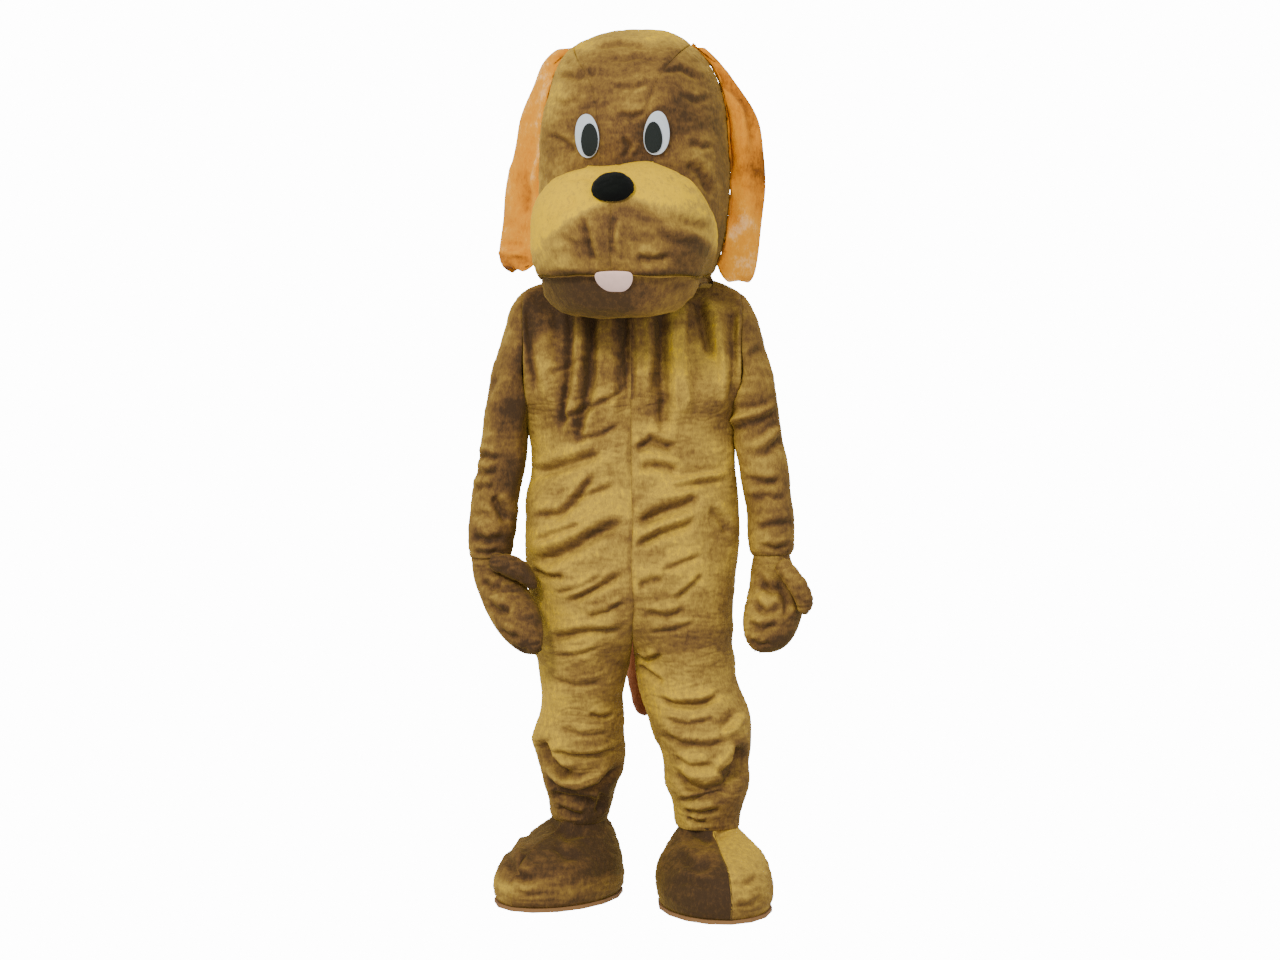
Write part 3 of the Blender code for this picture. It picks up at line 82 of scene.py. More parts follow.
FRONT_CREASES = [
    # Gathers that hang from the neckband
    Crease([(-0.205, 1.200), (-0.198, 1.100), (-0.190, 1.010)], 0.010, 0.007),
    Crease([(-0.170, 1.195), (-0.160, 1.090), (-0.166, 0.985)], 0.012, -0.005),
    Crease([(-0.128, 1.205), (-0.122, 1.120), (-0.130, 1.010), (-0.142, 0.930)], 0.009, 0.010),
    Crease([(-0.100, 1.205), (-0.098, 1.125), (-0.104, 1.045)], 0.008, -0.006),
    Crease([(-0.080, 1.205), (-0.076, 1.110), (-0.088, 1.000), (-0.112, 0.900)], 0.010, 0.010),
    Crease([(-0.040, 1.205), (-0.036, 1.110), (-0.040, 1.020), (-0.034, 0.950)], 0.013, -0.006),
    Crease([(-0.010, 1.205), (-0.004, 1.100), (0.000, 1.000)], 0.009, 0.008),
    Crease([(0.032, 1.205), (0.034, 1.100), (0.036, 0.990)], 0.009, -0.007),
    Crease([(0.058, 1.205), (0.062, 1.110), (0.068, 1.010), (0.064, 0.930)], 0.011, 0.012),
    Crease([(0.096, 1.205), (0.098, 1.090), (0.106, 0.960)], 0.013, -0.007),
    Crease([(0.132, 1.205), (0.146, 1.150), (0.158, 1.080)], 0.009, 0.009),
    Crease([(0.169, 1.200), (0.176, 1.090), (0.184, 0.970)], 0.010, -0.006),
    Crease([(0.198, 1.190), (0.203, 1.090), (0.204, 1.000)], 0.008, 0.007),
    # Folds that drag across the chest and belly, rising to the right of the picture
    Crease([(-0.172, 1.045), (-0.120, 1.075), (-0.072, 1.082)], 0.006, 0.003),
    Crease([(-0.150, 0.955), (-0.092, 0.985), (-0.040, 1.010), (-0.008, 1.030)], 0.007, 0.005),
    Crease([(-0.110, 0.925), (-0.060, 0.935), (-0.020, 0.960)], 0.006, 0.004),
    Crease([(-0.203, 0.858), (-0.139, 0.878), (-0.083, 0.892), (-0.054, 0.902)], 0.011, 0.009),
    Crease([(-0.200, 0.774), (-0.144, 0.776), (-0.116, 0.800), (-0.073, 0.863)], 0.008, 0.007),
    Crease([(-0.128, 0.812), (-0.080, 0.818), (-0.030, 0.838)], 0.006, 0.004),
    Crease([(-0.200, 0.679), (-0.134, 0.708), (-0.073, 0.737), (-0.010, 0.769)], 0.014, 0.013),
    Crease([(-0.196, 0.724), (-0.140, 0.742), (-0.090, 0.764)], 0.007, 0.006),
    Crease([(-0.206, 0.665), (-0.165, 0.655), (-0.128, 0.660)], 0.008, 0.007),
    Crease([(-0.150, 0.622), (-0.100, 0.640), (-0.050, 0.668)], 0.006, 0.004),
    Crease([(-0.134, 0.602), (-0.073, 0.635), (-0.012, 0.667)], 0.008, 0.008),
    Crease([(-0.094, 0.578), (-0.050, 0.590), (-0.014, 0.612)], 0.006, 0.005),
    Crease([(-0.170, 0.536), (-0.092, 0.551), (-0.040, 0.552), (-0.010, 0.558)], 0.008, 0.008),
    Crease([(-0.160, 0.500), (-0.110, 0.506), (-0.060, 0.520)], 0.006, 0.004),
    Crease([(0.008, 0.905), (0.040, 0.926), (0.092, 0.910)], 0.009, 0.007),
    Crease([(0.010, 0.873), (0.050, 0.876), (0.096, 0.868)], 0.009, 0.007),
    Crease([(0.063, 0.843), (0.120, 0.856), (0.192, 0.863)], 0.006, -0.004),
    Crease([(0.070, 0.828), (0.130, 0.842), (0.196, 0.846)], 0.006, 0.004),
    Crease([(0.006, 0.762), (0.063, 0.791), (0.098, 0.800), (0.140, 0.816)], 0.013, 0.012),
    Crease([(0.006, 0.713), (0.059, 0.747), (0.129, 0.772)], 0.010, 0.010),
    Crease([(0.150, 0.792), (0.176, 0.770), (0.196, 0.735)], 0.008, 0.006),
    Crease([(0.060, 0.668), (0.105, 0.690), (0.140, 0.700)], 0.007, 0.004),
    Crease([(0.086, 0.610), (0.112, 0.634), (0.142, 0.662)], 0.007, 0.006),
    Crease([(0.010, 0.640), (0.040, 0.652), (0.064, 0.650)], 0.009, 0.006),
    Crease([(0.020, 0.588), (0.070, 0.580), (0.110, 0.592)], 0.008, 0.006),
    Crease([(0.030, 0.548), (0.080, 0.552), (0.130, 0.566)], 0.006, 0.004),
    Crease([(0.003, 0.497), (0.028, 0.484), (0.064, 0.503)], 0.006, 0.008),
    Crease([(0.010, 0.474), (0.040, 0.456), (0.062, 0.444)], 0.007, 0.007),
    # Right leg of the wearer, at the left of the picture
    Crease([(-0.165, 0.452), (-0.110, 0.440), (-0.050, 0.446)], 0.008, 0.004),
    Crease([(-0.086, 0.381), (-0.060, 0.376), (-0.033, 0.379)], 0.006, 0.006),
    Crease([(-0.150, 0.348), (-0.100, 0.338), (-0.040, 0.342)], 0.007, 0.003),
    Crease([(-0.170, 0.306), (-0.128, 0.297), (-0.070, 0.295), (-0.020, 0.305)], 0.007, 0.007),
    Crease([(-0.184, 0.322), (-0.173, 0.284), (-0.145, 0.262), (-0.112, 0.254)], 0.012, 0.015),
    Crease([(-0.181, 0.252), (-0.152, 0.229), (-0.111, 0.220), (-0.062, 0.233), (-0.024, 0.274)], 0.010, 0.012),
    Crease([(-0.176, 0.266), (-0.140, 0.243), (-0.104, 0.236), (-0.066, 0.252)], 0.008, -0.007),
    Crease([(-0.170, 0.212), (-0.125, 0.204), (-0.086, 0.201), (-0.074, 0.182)], 0.009, 0.010),
    Crease([(-0.064, 0.222), (-0.062, 0.196), (-0.072, 0.168)], 0.007, 0.007),
    Crease([(-0.150, 0.184), (-0.118, 0.172), (-0.096, 0.165)], 0.008, 0.006),
    # Left leg of the wearer, at the right of the picture
    Crease([(0.046, 0.412), (0.079, 0.404), (0.136, 0.408), (0.178, 0.420)], 0.007, 0.009),
    Crease([(0.056, 0.372), (0.110, 0.366), (0.160, 0.376)], 0.006, 0.004),
    Crease([(0.050, 0.340), (0.095, 0.325), (0.157, 0.321), (0.196, 0.334)], 0.008, 0.006),
    Crease([(0.074, 0.300), (0.116, 0.284), (0.160, 0.284)], 0.007, 0.005),
    Crease([(0.074, 0.274), (0.112, 0.248), (0.149, 0.236), (0.186, 0.244), (0.214, 0.276), (0.226, 0.330)],
           0.012, 0.015),
    Crease([(0.170, 0.262), (0.200, 0.284), (0.216, 0.320)], 0.010, 0.012),
    Crease([(0.176, 0.340), (0.206, 0.352), (0.224, 0.384)], 0.009, -0.008),
    Crease([(0.087, 0.212), (0.120, 0.217), (0.157, 0.221), (0.205, 0.231)], 0.008, 0.009),
    Crease([(0.098, 0.190), (0.140, 0.186), (0.180, 0.194)], 0.007, 0.006),
    Crease([(0.108, 0.176), (0.130, 0.166), (0.154, 0.168)], 0.006, 0.006),
]

BACK_CREASES = [
    Crease([(-0.160, 1.190), (-0.154, 1.080), (-0.160, 0.980)], 0.011, 0.007),
    Crease([(-0.112, 1.200), (-0.104, 1.070), (-0.112, 0.950)], 0.011, 0.009),
    Crease([(-0.068, 1.200), (-0.062, 1.100), (-0.066, 1.020)], 0.009, 0.007),
    Crease([(0.060, 1.200), (0.066, 1.090), (0.062, 0.985)], 0.010, 0.008),
    Crease([(0.108, 1.200), (0.114, 1.100), (0.108, 0.965)], 0.012, 0.009),
    Crease([(0.164, 1.190), (0.160, 1.090), (0.168, 1.010)], 0.010, 0.007),
    Crease([(-0.196, 0.930), (-0.130, 0.905), (-0.060, 0.900)], 0.009, 0.007),
    Crease([(0.196, 0.900), (0.140, 0.885), (0.066, 0.892)], 0.010, 0.007),
    Crease([(-0.190, 0.820), (-0.120, 0.795), (-0.040, 0.802)], 0.012, 0.010),
    Crease([(0.200, 0.805), (0.130, 0.780), (0.050, 0.776)], 0.011, 0.009),
    Crease([(-0.170, 0.745), (-0.110, 0.730), (-0.030, 0.742)], 0.008, 0.006),
    Crease([(0.180, 0.720), (0.120, 0.705), (0.060, 0.712)], 0.009, 0.007),
    Crease([(-0.150, 0.560), (-0.100, 0.535), (-0.040, 0.520), (-0.006, 0.500)], 0.011, 0.011),
    Crease([(0.176, 0.570), (0.110, 0.540), (0.050, 0.520), (0.010, 0.500)], 0.011, 0.011),
    Crease([(-0.160, 0.480), (-0.110, 0.462), (-0.050, 0.470)], 0.009, 0.007),
    Crease([(0.070, 0.470), (0.120, 0.456), (0.180, 0.470)], 0.009, 0.007),
    Crease([(-0.176, 0.392), (-0.120, 0.376), (-0.050, 0.384)], 0.010, 0.010),
    Crease([(0.070, 0.402), (0.130, 0.384), (0.196, 0.400)], 0.010, 0.010),
    Crease([(-0.184, 0.322), (-0.120, 0.306), (-0.040, 0.316)], 0.011, 0.012),
    Crease([(0.080, 0.330), (0.140, 0.312), (0.210, 0.328)], 0.011, 0.012),
    Crease([(-0.180, 0.262), (-0.120, 0.240), (-0.050, 0.256)], 0.010, 0.012),
    Crease([(0.084, 0.264), (0.150, 0.242), (0.206, 0.262)], 0.010, 0.012),
    Crease([(-0.160, 0.206), (-0.110, 0.190), (-0.060, 0.200)], 0.008, 0.008),
    Crease([(0.098, 0.206), (0.146, 0.190), (0.190, 0.204)], 0.008, 0.008),
]

SLEEVE_CREASES = [
    Crease([(-0.262, 1.060), (-0.286, 1.020), (-0.300, 0.980)], 0.008, 0.004),
    Crease([(-0.320, 0.885), (-0.290, 0.892), (-0.256, 0.884)], 0.007, 0.005),
    Crease([(-0.322, 0.862), (-0.296, 0.855), (-0.262, 0.862)], 0.008, 0.007),
    Crease([(-0.320, 0.820), (-0.296, 0.832), (-0.270, 0.830)], 0.007, 0.006),
    Crease([(-0.276, 0.812), (-0.262, 0.790), (-0.246, 0.760)], 0.009, 0.009),
    Crease([(-0.320, 0.772), (-0.296, 0.778), (-0.272, 0.770)], 0.006, 0.004),
    Crease([(-0.318, 0.738), (-0.284, 0.726), (-0.250, 0.734)], 0.008, 0.007),
    Crease([(-0.316, 0.708), (-0.290, 0.700), (-0.262, 0.704)], 0.007, 0.005),
    Crease([(0.226, 1.092), (0.256, 1.110), (0.280, 1.096)], 0.008, 0.004),
    Crease([(0.212, 0.948), (0.242, 0.972), (0.290, 0.998)], 0.006, -0.005),
    Crease([(0.218, 0.934), (0.250, 0.956), (0.292, 0.980)], 0.008, 0.006),
    Crease([(0.247, 0.908), (0.272, 0.934), (0.300, 0.952)], 0.006, -0.005),
    Crease([(0.252, 0.892), (0.278, 0.914), (0.306, 0.934)], 0.008, 0.006),
    Crease([(0.232, 0.852), (0.262, 0.838), (0.300, 0.846)], 0.009, 0.006),
    Crease([(0.236, 0.800), (0.266, 0.812), (0.310, 0.806)], 0.007, 0.004),
    Crease([(0.243, 0.752), (0.280, 0.760), (0.319, 0.757)], 0.007, 0.006),
    Crease([(0.250, 0.716), (0.286, 0.706), (0.318, 0.714)], 0.007, 0.005),
]

HEAD_CREASES = [
    Crease([(-0.075, 1.690), (-0.020, 1.697), (0.040, 1.686)], 0.006, 0.004),
    Crease([(-0.050, 1.662), (0.010, 1.667), (0.056, 1.655)], 0.006, 0.003),
    Crease([(-0.150, 1.640), (-0.110, 1.630), (-0.066, 1.640)], 0.006, 0.004),
    Crease([(0.050, 1.632), (0.096, 1.640), (0.140, 1.622)], 0.006, 0.004),
    Crease([(-0.040, 1.612), (0.000, 1.604), (0.036, 1.612)], 0.005, 0.003),
    Crease([(-0.156, 1.590), (-0.128, 1.580), (-0.100, 1.590)], 0.006, 0.003),
    Crease([(0.090, 1.590), (0.126, 1.580), (0.156, 1.592)], 0.006, 0.003),
    Crease([(-0.030, 1.556), (0.000, 1.548), (0.034, 1.556)], 0.006, 0.004),
    Crease([(-0.160, 1.520), (-0.134, 1.505), (-0.110, 1.480)], 0.007, 0.005),
    Crease([(0.108, 1.505), (0.136, 1.490), (0.164, 1.500)], 0.007, 0.004),
    Crease([(0.100, 1.462), (0.132, 1.440), (0.160, 1.396)], 0.009, 0.007),
    Crease([(-0.020, 1.512), (-0.004, 1.490), (-0.014, 1.470)], 0.006, 0.004),
]

MUZZLE_CREASES = [
    # The line where each cheek swells out from under the nose
    Crease([(-0.098, 1.392), (-0.140, 1.368), (-0.172, 1.330)], 0.012, 0.005),
    Crease([(0.004, 1.386), (0.060, 1.362), (0.120, 1.338), (0.160, 1.318)], 0.012, 0.005),
    # Seams and tucks under the nose
    Crease([(-0.092, 1.352), (-0.080, 1.300), (-0.068, 1.262)], 0.007, 0.006),
    Crease([(-0.034, 1.352), (-0.036, 1.310), (-0.032, 1.276)], 0.006, 0.006),
    Crease([(0.010, 1.276), (0.042, 1.272), (0.076, 1.280)], 0.008, 0.008),
    Crease([(0.050, 1.330), (0.090, 1.304), (0.126, 1.300)], 0.008, 0.005),
    Crease([(-0.128, 1.310), (-0.098, 1.296), (-0.070, 1.304)], 0.006, 0.003),
    Crease([(-0.120, 1.420), (-0.090, 1.432), (-0.060, 1.420)], 0.006, 0.003),
    Crease([(0.060, 1.430), (0.094, 1.420), (0.126, 1.400)], 0.006, 0.003),
    Crease([(-0.150, 1.250), (-0.100, 1.238), (-0.070, 1.242)], 0.008, 0.004),
    Crease([(0.066, 1.236), (0.104, 1.228), (0.140, 1.238)], 0.008, 0.004),
]

EAR_CREASES = [
    Crease([(-0.182, 1.655), (-0.200, 1.560), (-0.214, 1.470), (-0.222, 1.400)], 0.010, -0.007),
    Crease([(-0.205, 1.545), (-0.222, 1.450), (-0.232, 1.360)], 0.009, 0.006),
    Crease([(-0.256, 1.500), (-0.262, 1.430), (-0.256, 1.350)], 0.012, -0.004),
    Crease([(-0.284, 1.306), (-0.258, 1.292), (-0.226, 1.296)], 0.008, -0.005),
    # The left ear is twisted from its root, with a deep fold beside the roll
    Crease([(0.164, 1.660), (0.196, 1.612), (0.228, 1.570), (0.246, 1.492)], 0.012, -0.010),
    Crease([(0.180, 1.615), (0.204, 1.572), (0.216, 1.510), (0.220, 1.440)], 0.012, 0.012),
    Crease([(0.206, 1.430), (0.222, 1.380), (0.240, 1.330)], 0.010, 0.006),
    Crease([(0.240, 1.470), (0.256, 1.400), (0.256, 1.320)], 0.013, -0.004),
]

FOOT_CREASES = [
    Crease([(-0.268, 0.118), (-0.240, 0.086), (-0.212, 0.072), (-0.180, 0.070)], 0.008, 0.007),
    Crease([(-0.250, 0.140), (-0.226, 0.108), (-0.208, 0.092)], 0.007, -0.005),
    Crease([(-0.160, 0.124), (-0.128, 0.104), (-0.096, 0.098)], 0.007, 0.004),
    Crease([(-0.176, 0.152), (-0.134, 0.136), (-0.088, 0.142)], 0.008, 0.007),
    Crease([(-0.236, 0.046), (-0.200, 0.036), (-0.160, 0.040)], 0.006, 0.003),
    Crease([(0.092, 0.120), (0.128, 0.098), (0.160, 0.104)], 0.007, 0.005),
    Crease([(0.078, 0.066), (0.112, 0.082), (0.160, 0.066)], 0.007, 0.004),
    Crease([(0.190, 0.078), (0.218, 0.070), (0.248, 0.084)], 0.006, 0.004),
    Crease([(0.196, 0.040), (0.226, 0.034), (0.256, 0.044)], 0.006, 0.003),
    Crease([(0.110, 0.156), (0.148, 0.138), (0.200, 0.150)], 0.008, 0.007),
]

MITT_CREASES = [
    Crease([(-0.300, 0.652), (-0.276, 0.636), (-0.252, 0.640)], 0.007, 0.006),
    Crease([(-0.286, 0.606), (-0.262, 0.590), (-0.236, 0.594)], 0.008, 0.007),
    Crease([(-0.262, 0.560), (-0.240, 0.544), (-0.216, 0.550)], 0.007, 0.005),
    Crease([(-0.236, 0.530), (-0.218, 0.516), (-0.200, 0.524)], 0.006, 0.004),
    Crease([(0.244, 0.646), (0.270, 0.632), (0.300, 0.640)], 0.008, 0.007),
    Crease([(0.232, 0.606), (0.262, 0.590), (0.296, 0.602)], 0.008, 0.007),
    Crease([(0.226, 0.566), (0.256, 0.556), (0.286, 0.570)], 0.007, 0.006),
    Crease([(0.232, 0.532), (0.256, 0.522), (0.276, 0.530)], 0.006, 0.004),
    Crease([(0.292, 0.640), (0.304, 0.610), (0.300, 0.580)], 0.007, 0.005),
]


def smooth(amount):
    amount = np.clip(amount, 0.0, 1.0)
    return amount * amount * (3.0 - 2.0 * amount)


def line_distance(places, line):
    """Signed distance of each place from a line, and how far along it the nearest spot lies."""
    corners = np.array(line)
    lengths = np.linalg.norm(np.diff(corners, axis=0), axis=1)
    nearest = np.full(len(places), 1.0e9)
    signed = np.full(len(places), 1.0e9)
    along = np.zeros(len(places))
    done = 0.0
    for start, end, length in zip(corners[:-1], corners[1:], lengths):
        heading = (end - start) / length
        offset = places - start
        share = np.clip(offset @ heading, 0.0, length)
        gap = np.linalg.norm(offset - share[:, None] * heading, axis=1)
        side = np.where(heading[0] * offset[:, 1] - heading[1] * offset[:, 0] > 0.0, 1.0, -1.0)
        closer = gap < nearest
        nearest[closer] = gap[closer]
        signed[closer] = (gap * side)[closer]
        along[closer] = ((done + share) / lengths.sum())[closer]
        done += length
    return signed, along


def crease_relief(points, normals, creases, facing):
    """Height that the creases add on the side that faces the front, -1, or the back, 1."""
    places = np.column_stack([points[:, 0], points[:, 2] - FLOOR])
    relief = np.zeros(len(points))
    for crease in creases:
        signed, along = line_distance(places, crease.points)
        fade = smooth(np.minimum(along, 1.0 - along) / 0.22 + 0.05)
        trough = np.exp(-(signed / crease.width) ** 2)
        lip = np.exp(-((signed - 1.9 * crease.width) / (1.2 * crease.width)) ** 2)
        relief += CREASE_GAIN * crease.depth * (0.45 * lip - trough) * fade
    return relief * smooth(facing * normals[:, 1] * 1.6 + 0.25)


def noise_field(points, stretch, seed):
    shift = Vector((seed * 7.31, seed * 3.17, seed * 1.93))
    scaled = points * np.array(stretch)
    return np.array([noise.noise(Vector(place) + shift) for place in scaled])


# Shells that stand for the cloth of a node
def is_rim(face):
    """True for a narrow face that joins the outside of a wall to its inside."""
    if min(edge.calc_length() for edge in face.edges) > RIM_WIDTH:
        return False
    return max(edge.calc_face_angle(0.0) for edge in face.edges) > RIM_FOLD


def outer_skin(node):
    """The outside of a node in quads: its largest patch with no rim or sharp fold inside it."""
    skin = bmesh.new()
    skin.from_mesh(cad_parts[node].data)
    bmesh.ops.remove_doubles(skin, verts=skin.verts, dist=WELD)
    groups = []
    seen = set(face for face in skin.faces if is_rim(face))
    for first in skin.faces:
        if first in seen:
            continue
        group = [first]
        seen.add(first)
        for face in group:
            for edge in face.edges:
                for near in edge.link_faces:
                    if near not in seen and edge.calc_face_angle(math.pi) < FOLD_LIMIT:
                        seen.add(near)
                        group.append(near)
        groups.append(group)
    outside = set(max(groups, key=lambda group: sum(face.calc_area() for face in group)))
    spare = [face for face in skin.faces if face not in outside]
    bmesh.ops.delete(skin, geom=spare, context="FACES")
    bmesh.ops.join_triangles(skin, faces=skin.faces, angle_face_threshold=math.radians(50.0),
                             angle_shape_threshold=math.radians(60.0))
    return skin


def open_seam(skin):
    """Opens a tube of cloth along the seam that closes it, from its free edge towards its tip."""
    rim = [vertex for vertex in skin.verts if vertex.is_boundary]
    middle = sum((vertex.co for vertex in rim), Vector()) / len(rim)
    along = sum((vertex.co for vertex in skin.verts), Vector()) / len(skin.verts) - middle
    along.normalize()
    vertex = max(rim, key=lambda end: end.co.y)
    seam = []
    while True:
        steps = [(edge, edge.other_vert(vertex)) for edge in vertex.link_edges if edge not in seam]
        edge, onward = max(steps, key=lambda step: (step[1].co - vertex.co).normalized().dot(along))
        if (onward.co - vertex.co).normalized().dot(along) < SEAM_STRAIGHTNESS:
            break
        seam.append(edge)
        vertex = onward
    bmesh.ops.split_edges(skin, edges=seam)


def whole_skin(node):
    """All of a closed node, in quads."""
    skin = bmesh.new()
    skin.from_mesh(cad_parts[node].data)
    bmesh.ops.remove_doubles(skin, verts=skin.verts, dist=WELD)
    bmesh.ops.join_triangles(skin, faces=skin.faces, angle_face_threshold=math.radians(50.0),
                             angle_shape_threshold=math.radians(60.0))
    return skin


def subdivided(skin, name, levels):
    """A new object with the skin's mesh, made fine and smooth."""
    coarse = bpy.data.meshes.new(name + "_coarse")
    skin.to_mesh(coarse)
    skin.free()
    holder = bpy.data.objects.new(name + "_coarse", coarse)
    bpy.context.scene.collection.objects.link(holder)
    fine = holder.modifiers.new("fine", "SUBSURF")
    fine.levels = levels
    fine.boundary_smooth = "PRESERVE_CORNERS"
    view = bpy.context.evaluated_depsgraph_get()
    mesh = bpy.data.meshes.new_from_object(holder.evaluated_get(view))
    bpy.data.objects.remove(holder)
    mesh.name = name
    piece = bpy.data.objects.new(name, mesh)
    bpy.context.scene.collection.objects.link(piece)
    mesh.shade_smooth()
    return piece


def read_points(mesh):
    flat = np.zeros(len(mesh.vertices) * 3)
    mesh.vertices.foreach_get("co", flat)
    return flat.reshape(-1, 3)


def read_normals(mesh):
    flat = np.zeros(len(mesh.vertices) * 3)
    mesh.vertex_normals.foreach_get("vector", flat)
    return flat.reshape(-1, 3)


def warped(points):
    """Every piece is bent by the same gentle field, so seams wander and still meet."""
    fields = [noise_field(points, (WARP_SCALE, WARP_SCALE, WARP_SCALE), seed) for seed in (91, 92, 93)]
    fade = smooth((points[:, 2] - FLOOR - 0.012) / 0.05)
    return points + WARP * fade[:, None] * np.column_stack(fields)


def edge_distance(mesh, points):
    """Distance of each point from the free edge of an open skin."""
    uses = np.zeros(len(mesh.edges), int)
    loop_edges = np.zeros(len(mesh.loops), int)
    mesh.loops.foreach_get("edge_index", loop_edges)
    np.add.at(uses, loop_edges, 1)
    ends = np.zeros(len(mesh.edges) * 2, int)
    mesh.edges.foreach_get("vertices", ends)
    free = np.unique(ends.reshape(-1, 2)[uses == 1])
    if len(free) == 0:
        return np.full(len(points), 1.0)
    tree = KDTree(len(free))
    for index, vertex in enumerate(free):
        tree.insert(points[vertex], index)
    tree.balance()
    return np.array([tree.find(place)[2] for place in points])


def turn_in_edges(piece, depth):
    """Lets the free edges of the cloth reach their neighbours, then turns them inward."""
    skin = bmesh.new()
    skin.from_mesh(piece.data)
    skin.normal_update()
    free = [edge for edge in skin.edges if edge.is_boundary]
    reach = {}
    for vertex in set(vertex for edge in free for vertex in edge.verts):
        within = [edge.other_vert(vertex).co for edge in vertex.link_edges if not edge.is_boundary]
        if within:
            reach[vertex] = (vertex.co - sum(within, Vector()) / len(within)).normalized()
    for vertex, heading in reach.items():
        vertex.co += heading * SEAM_REACH
    made = bmesh.ops.extrude_edge_only(skin, edges=free)["geom"]
    turned = [item for item in made if isinstance(item, bmesh.types.BMVert)]
    inward = {}
    for vertex in turned:
        old = [edge.other_vert(vertex) for edge in vertex.link_edges if not edge.is_boundary][0]
        inward[vertex] = sum((face.normal for face in old.link_faces if vertex not in face.verts), Vector())
    for vertex, normal in inward.items():
        if normal.length > 0.0:
            vertex.co -= normal.normalized() * depth
    skin.to_mesh(piece.data)
    skin.free()


# How a stretch of cloth is worked. tone is its base pile value, from brown at 0 to gold at 1, before painted
# light and shade are added.
Cloth = namedtuple("Cloth", "front back levels rim wrinkle swell tone brightest", defaults=[0.84])
JUMPSUIT_FRONT = Cloth(FRONT_CREASES, BACK_CREASES, 4, CLOTH_RIM, 0.0012, 0.0034, 0.58)
JUMPSUIT_BACK = JUMPSUIT_FRONT._replace(levels=3)
SLEEVE = Cloth(SLEEVE_CREASES, SLEEVE_CREASES, 3, CLOTH_RIM, 0.0014, 0.0032, 0.36)
HEAD = Cloth(HEAD_CREASES, HEAD_CREASES, 4, FOAM_RIM, 0.0014, 0.0024, 0.26, 0.94)
MUZZLE = Cloth(MUZZLE_CREASES, [], 3, FOAM_RIM, 0.0015, 0.0020, 0.42, 1.0)
EAR = Cloth(EAR_CREASES, EAR_CREASES, 3, CLOTH_RIM, 0.0012, 0.0020, 0.44, 1.0)
MITT = Cloth(MITT_CREASES, MITT_CREASES, 3, CLOTH_RIM, 0.0024, 0.0030, 0.36)
FOOT = Cloth(FOOT_CREASES, FOOT_CREASES, 3, FOAM_RIM, 0.0022, 0.0030, 0.30)
SEAM_WIDTH = 0.006
SEAM_DEPTH = 0.0022
RELIEF_LIMIT = 0.009


def pile_and_painted_light_values(points, normals, relief, tone, seed, brightest):
    """Colour value of the pile: crushed patches at random, with painted light where the cloth faces up or to
    the light, painted shade in crease troughs and seam grooves, and painted highlight on ridges.
    """
    broad = noise_field(points, (7.0, 7.0, 15.0), seed)
    patch = smooth((noise_field(points, (20.0, 20.0, 46.0), seed + 3) + 0.12) / 0.34) - 0.5
    streak = noise_field(points, (60.0, 60.0, 210.0), seed + 5)
    # Painted light: gold where the cloth faces up and towards the wearer's right, brown where it faces down and
    # away.
    painted_facing_light = 0.30 * normals[:, 2] - 0.22 * normals[:, 0]
    # Painted shade in crease troughs and seam grooves, painted highlight on crease ridges.
    painted_crease_shade_and_highlight = np.clip(relief / 0.007, -1.2, 0.7) * 0.19
    pile_and_painted_light = tone + painted_facing_light + painted_crease_shade_and_highlight + 0.26 * broad + 0.12 * patch + 0.10 * streak
    return np.clip(pile_and_painted_light, 0.0, brightest)


def write_pile_and_painted_light(mesh, pile_and_painted_light):
    layer = mesh.attributes.new("pile_and_painted_light", "FLOAT", "POINT")
    layer.data.foreach_set("value", pile_and_painted_light.astype(np.float32))


def work_cloth(piece, cloth, seed, tone_shift=None, closed=False, shape=None):
    """Lays creases, wrinkles and pinched seams into a piece, and writes its pile value with painted light and
    shade in it.
    """
    mesh = piece.data
    points = read_points(mesh)
    normals = read_normals(mesh)
    relief = crease_relief(points, normals, cloth.front, -1.0)
    relief += 0.75 * crease_relief(points, normals, cloth.back, 1.0)
    relief += cloth.swell * noise_field(points, (11.0, 11.0, 19.0), seed)
    ridges = noise_field(points, (24.0, 24.0, 78.0), seed + 1)
    relief -= 0.8 * cloth.wrinkle * np.exp(-(ridges / 0.20) ** 2)
    relief += 0.3 * cloth.wrinkle * noise_field(points, (70.0, 70.0, 150.0), seed + 2)
    if not closed:
        away = edge_distance(mesh, points)
        relief *= smooth(away / 0.012 + 0.1)
        relief -= SEAM_DEPTH * np.exp(-(away / SEAM_WIDTH) ** 2)
    relief = np.clip(relief, -2.2 * RELIEF_LIMIT, RELIEF_LIMIT)
    moved = warped(points + normals * relief[:, None])
    if shape is not None:
        moved = shape(moved, normals)
    mesh.vertices.foreach_set("co", moved.ravel())
    mesh.update()
    tone = np.full(len(points), cloth.tone)
    if tone_shift is not None:
        tone += tone_shift(points, normals)
    # The pile value carries painted light from the way each spot faces, and painted shade and highlight from
    # the creases.
    write_pile_and_painted_light(mesh, pile_and_painted_light_values(points, read_normals(mesh), relief, tone, seed, cloth.brightest))
    if not closed:
        turn_in_edges(piece, cloth.rim)


def cloth_piece(node, cloth, material, seed, tone_shift=None, shape=None):
    skin = outer_skin(node)
    if "thumb" in node:
        open_seam(skin)
    piece = subdivided(skin, node + "_cloth", cloth.levels)
    work_cloth(piece, cloth, seed, tone_shift, shape=shape)
    piece.data.materials.append(material)
    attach(piece, "root")
    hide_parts(node)
    return piece


# Materials
def shader(name, roughness):
    material = bpy.data.materials.new(name)
    material.use_nodes = True
    tree = material.node_tree
    surface = tree.nodes["Principled BSDF"]
    surface.inputs["Roughness"].default_value = roughness
    return material, tree, surface


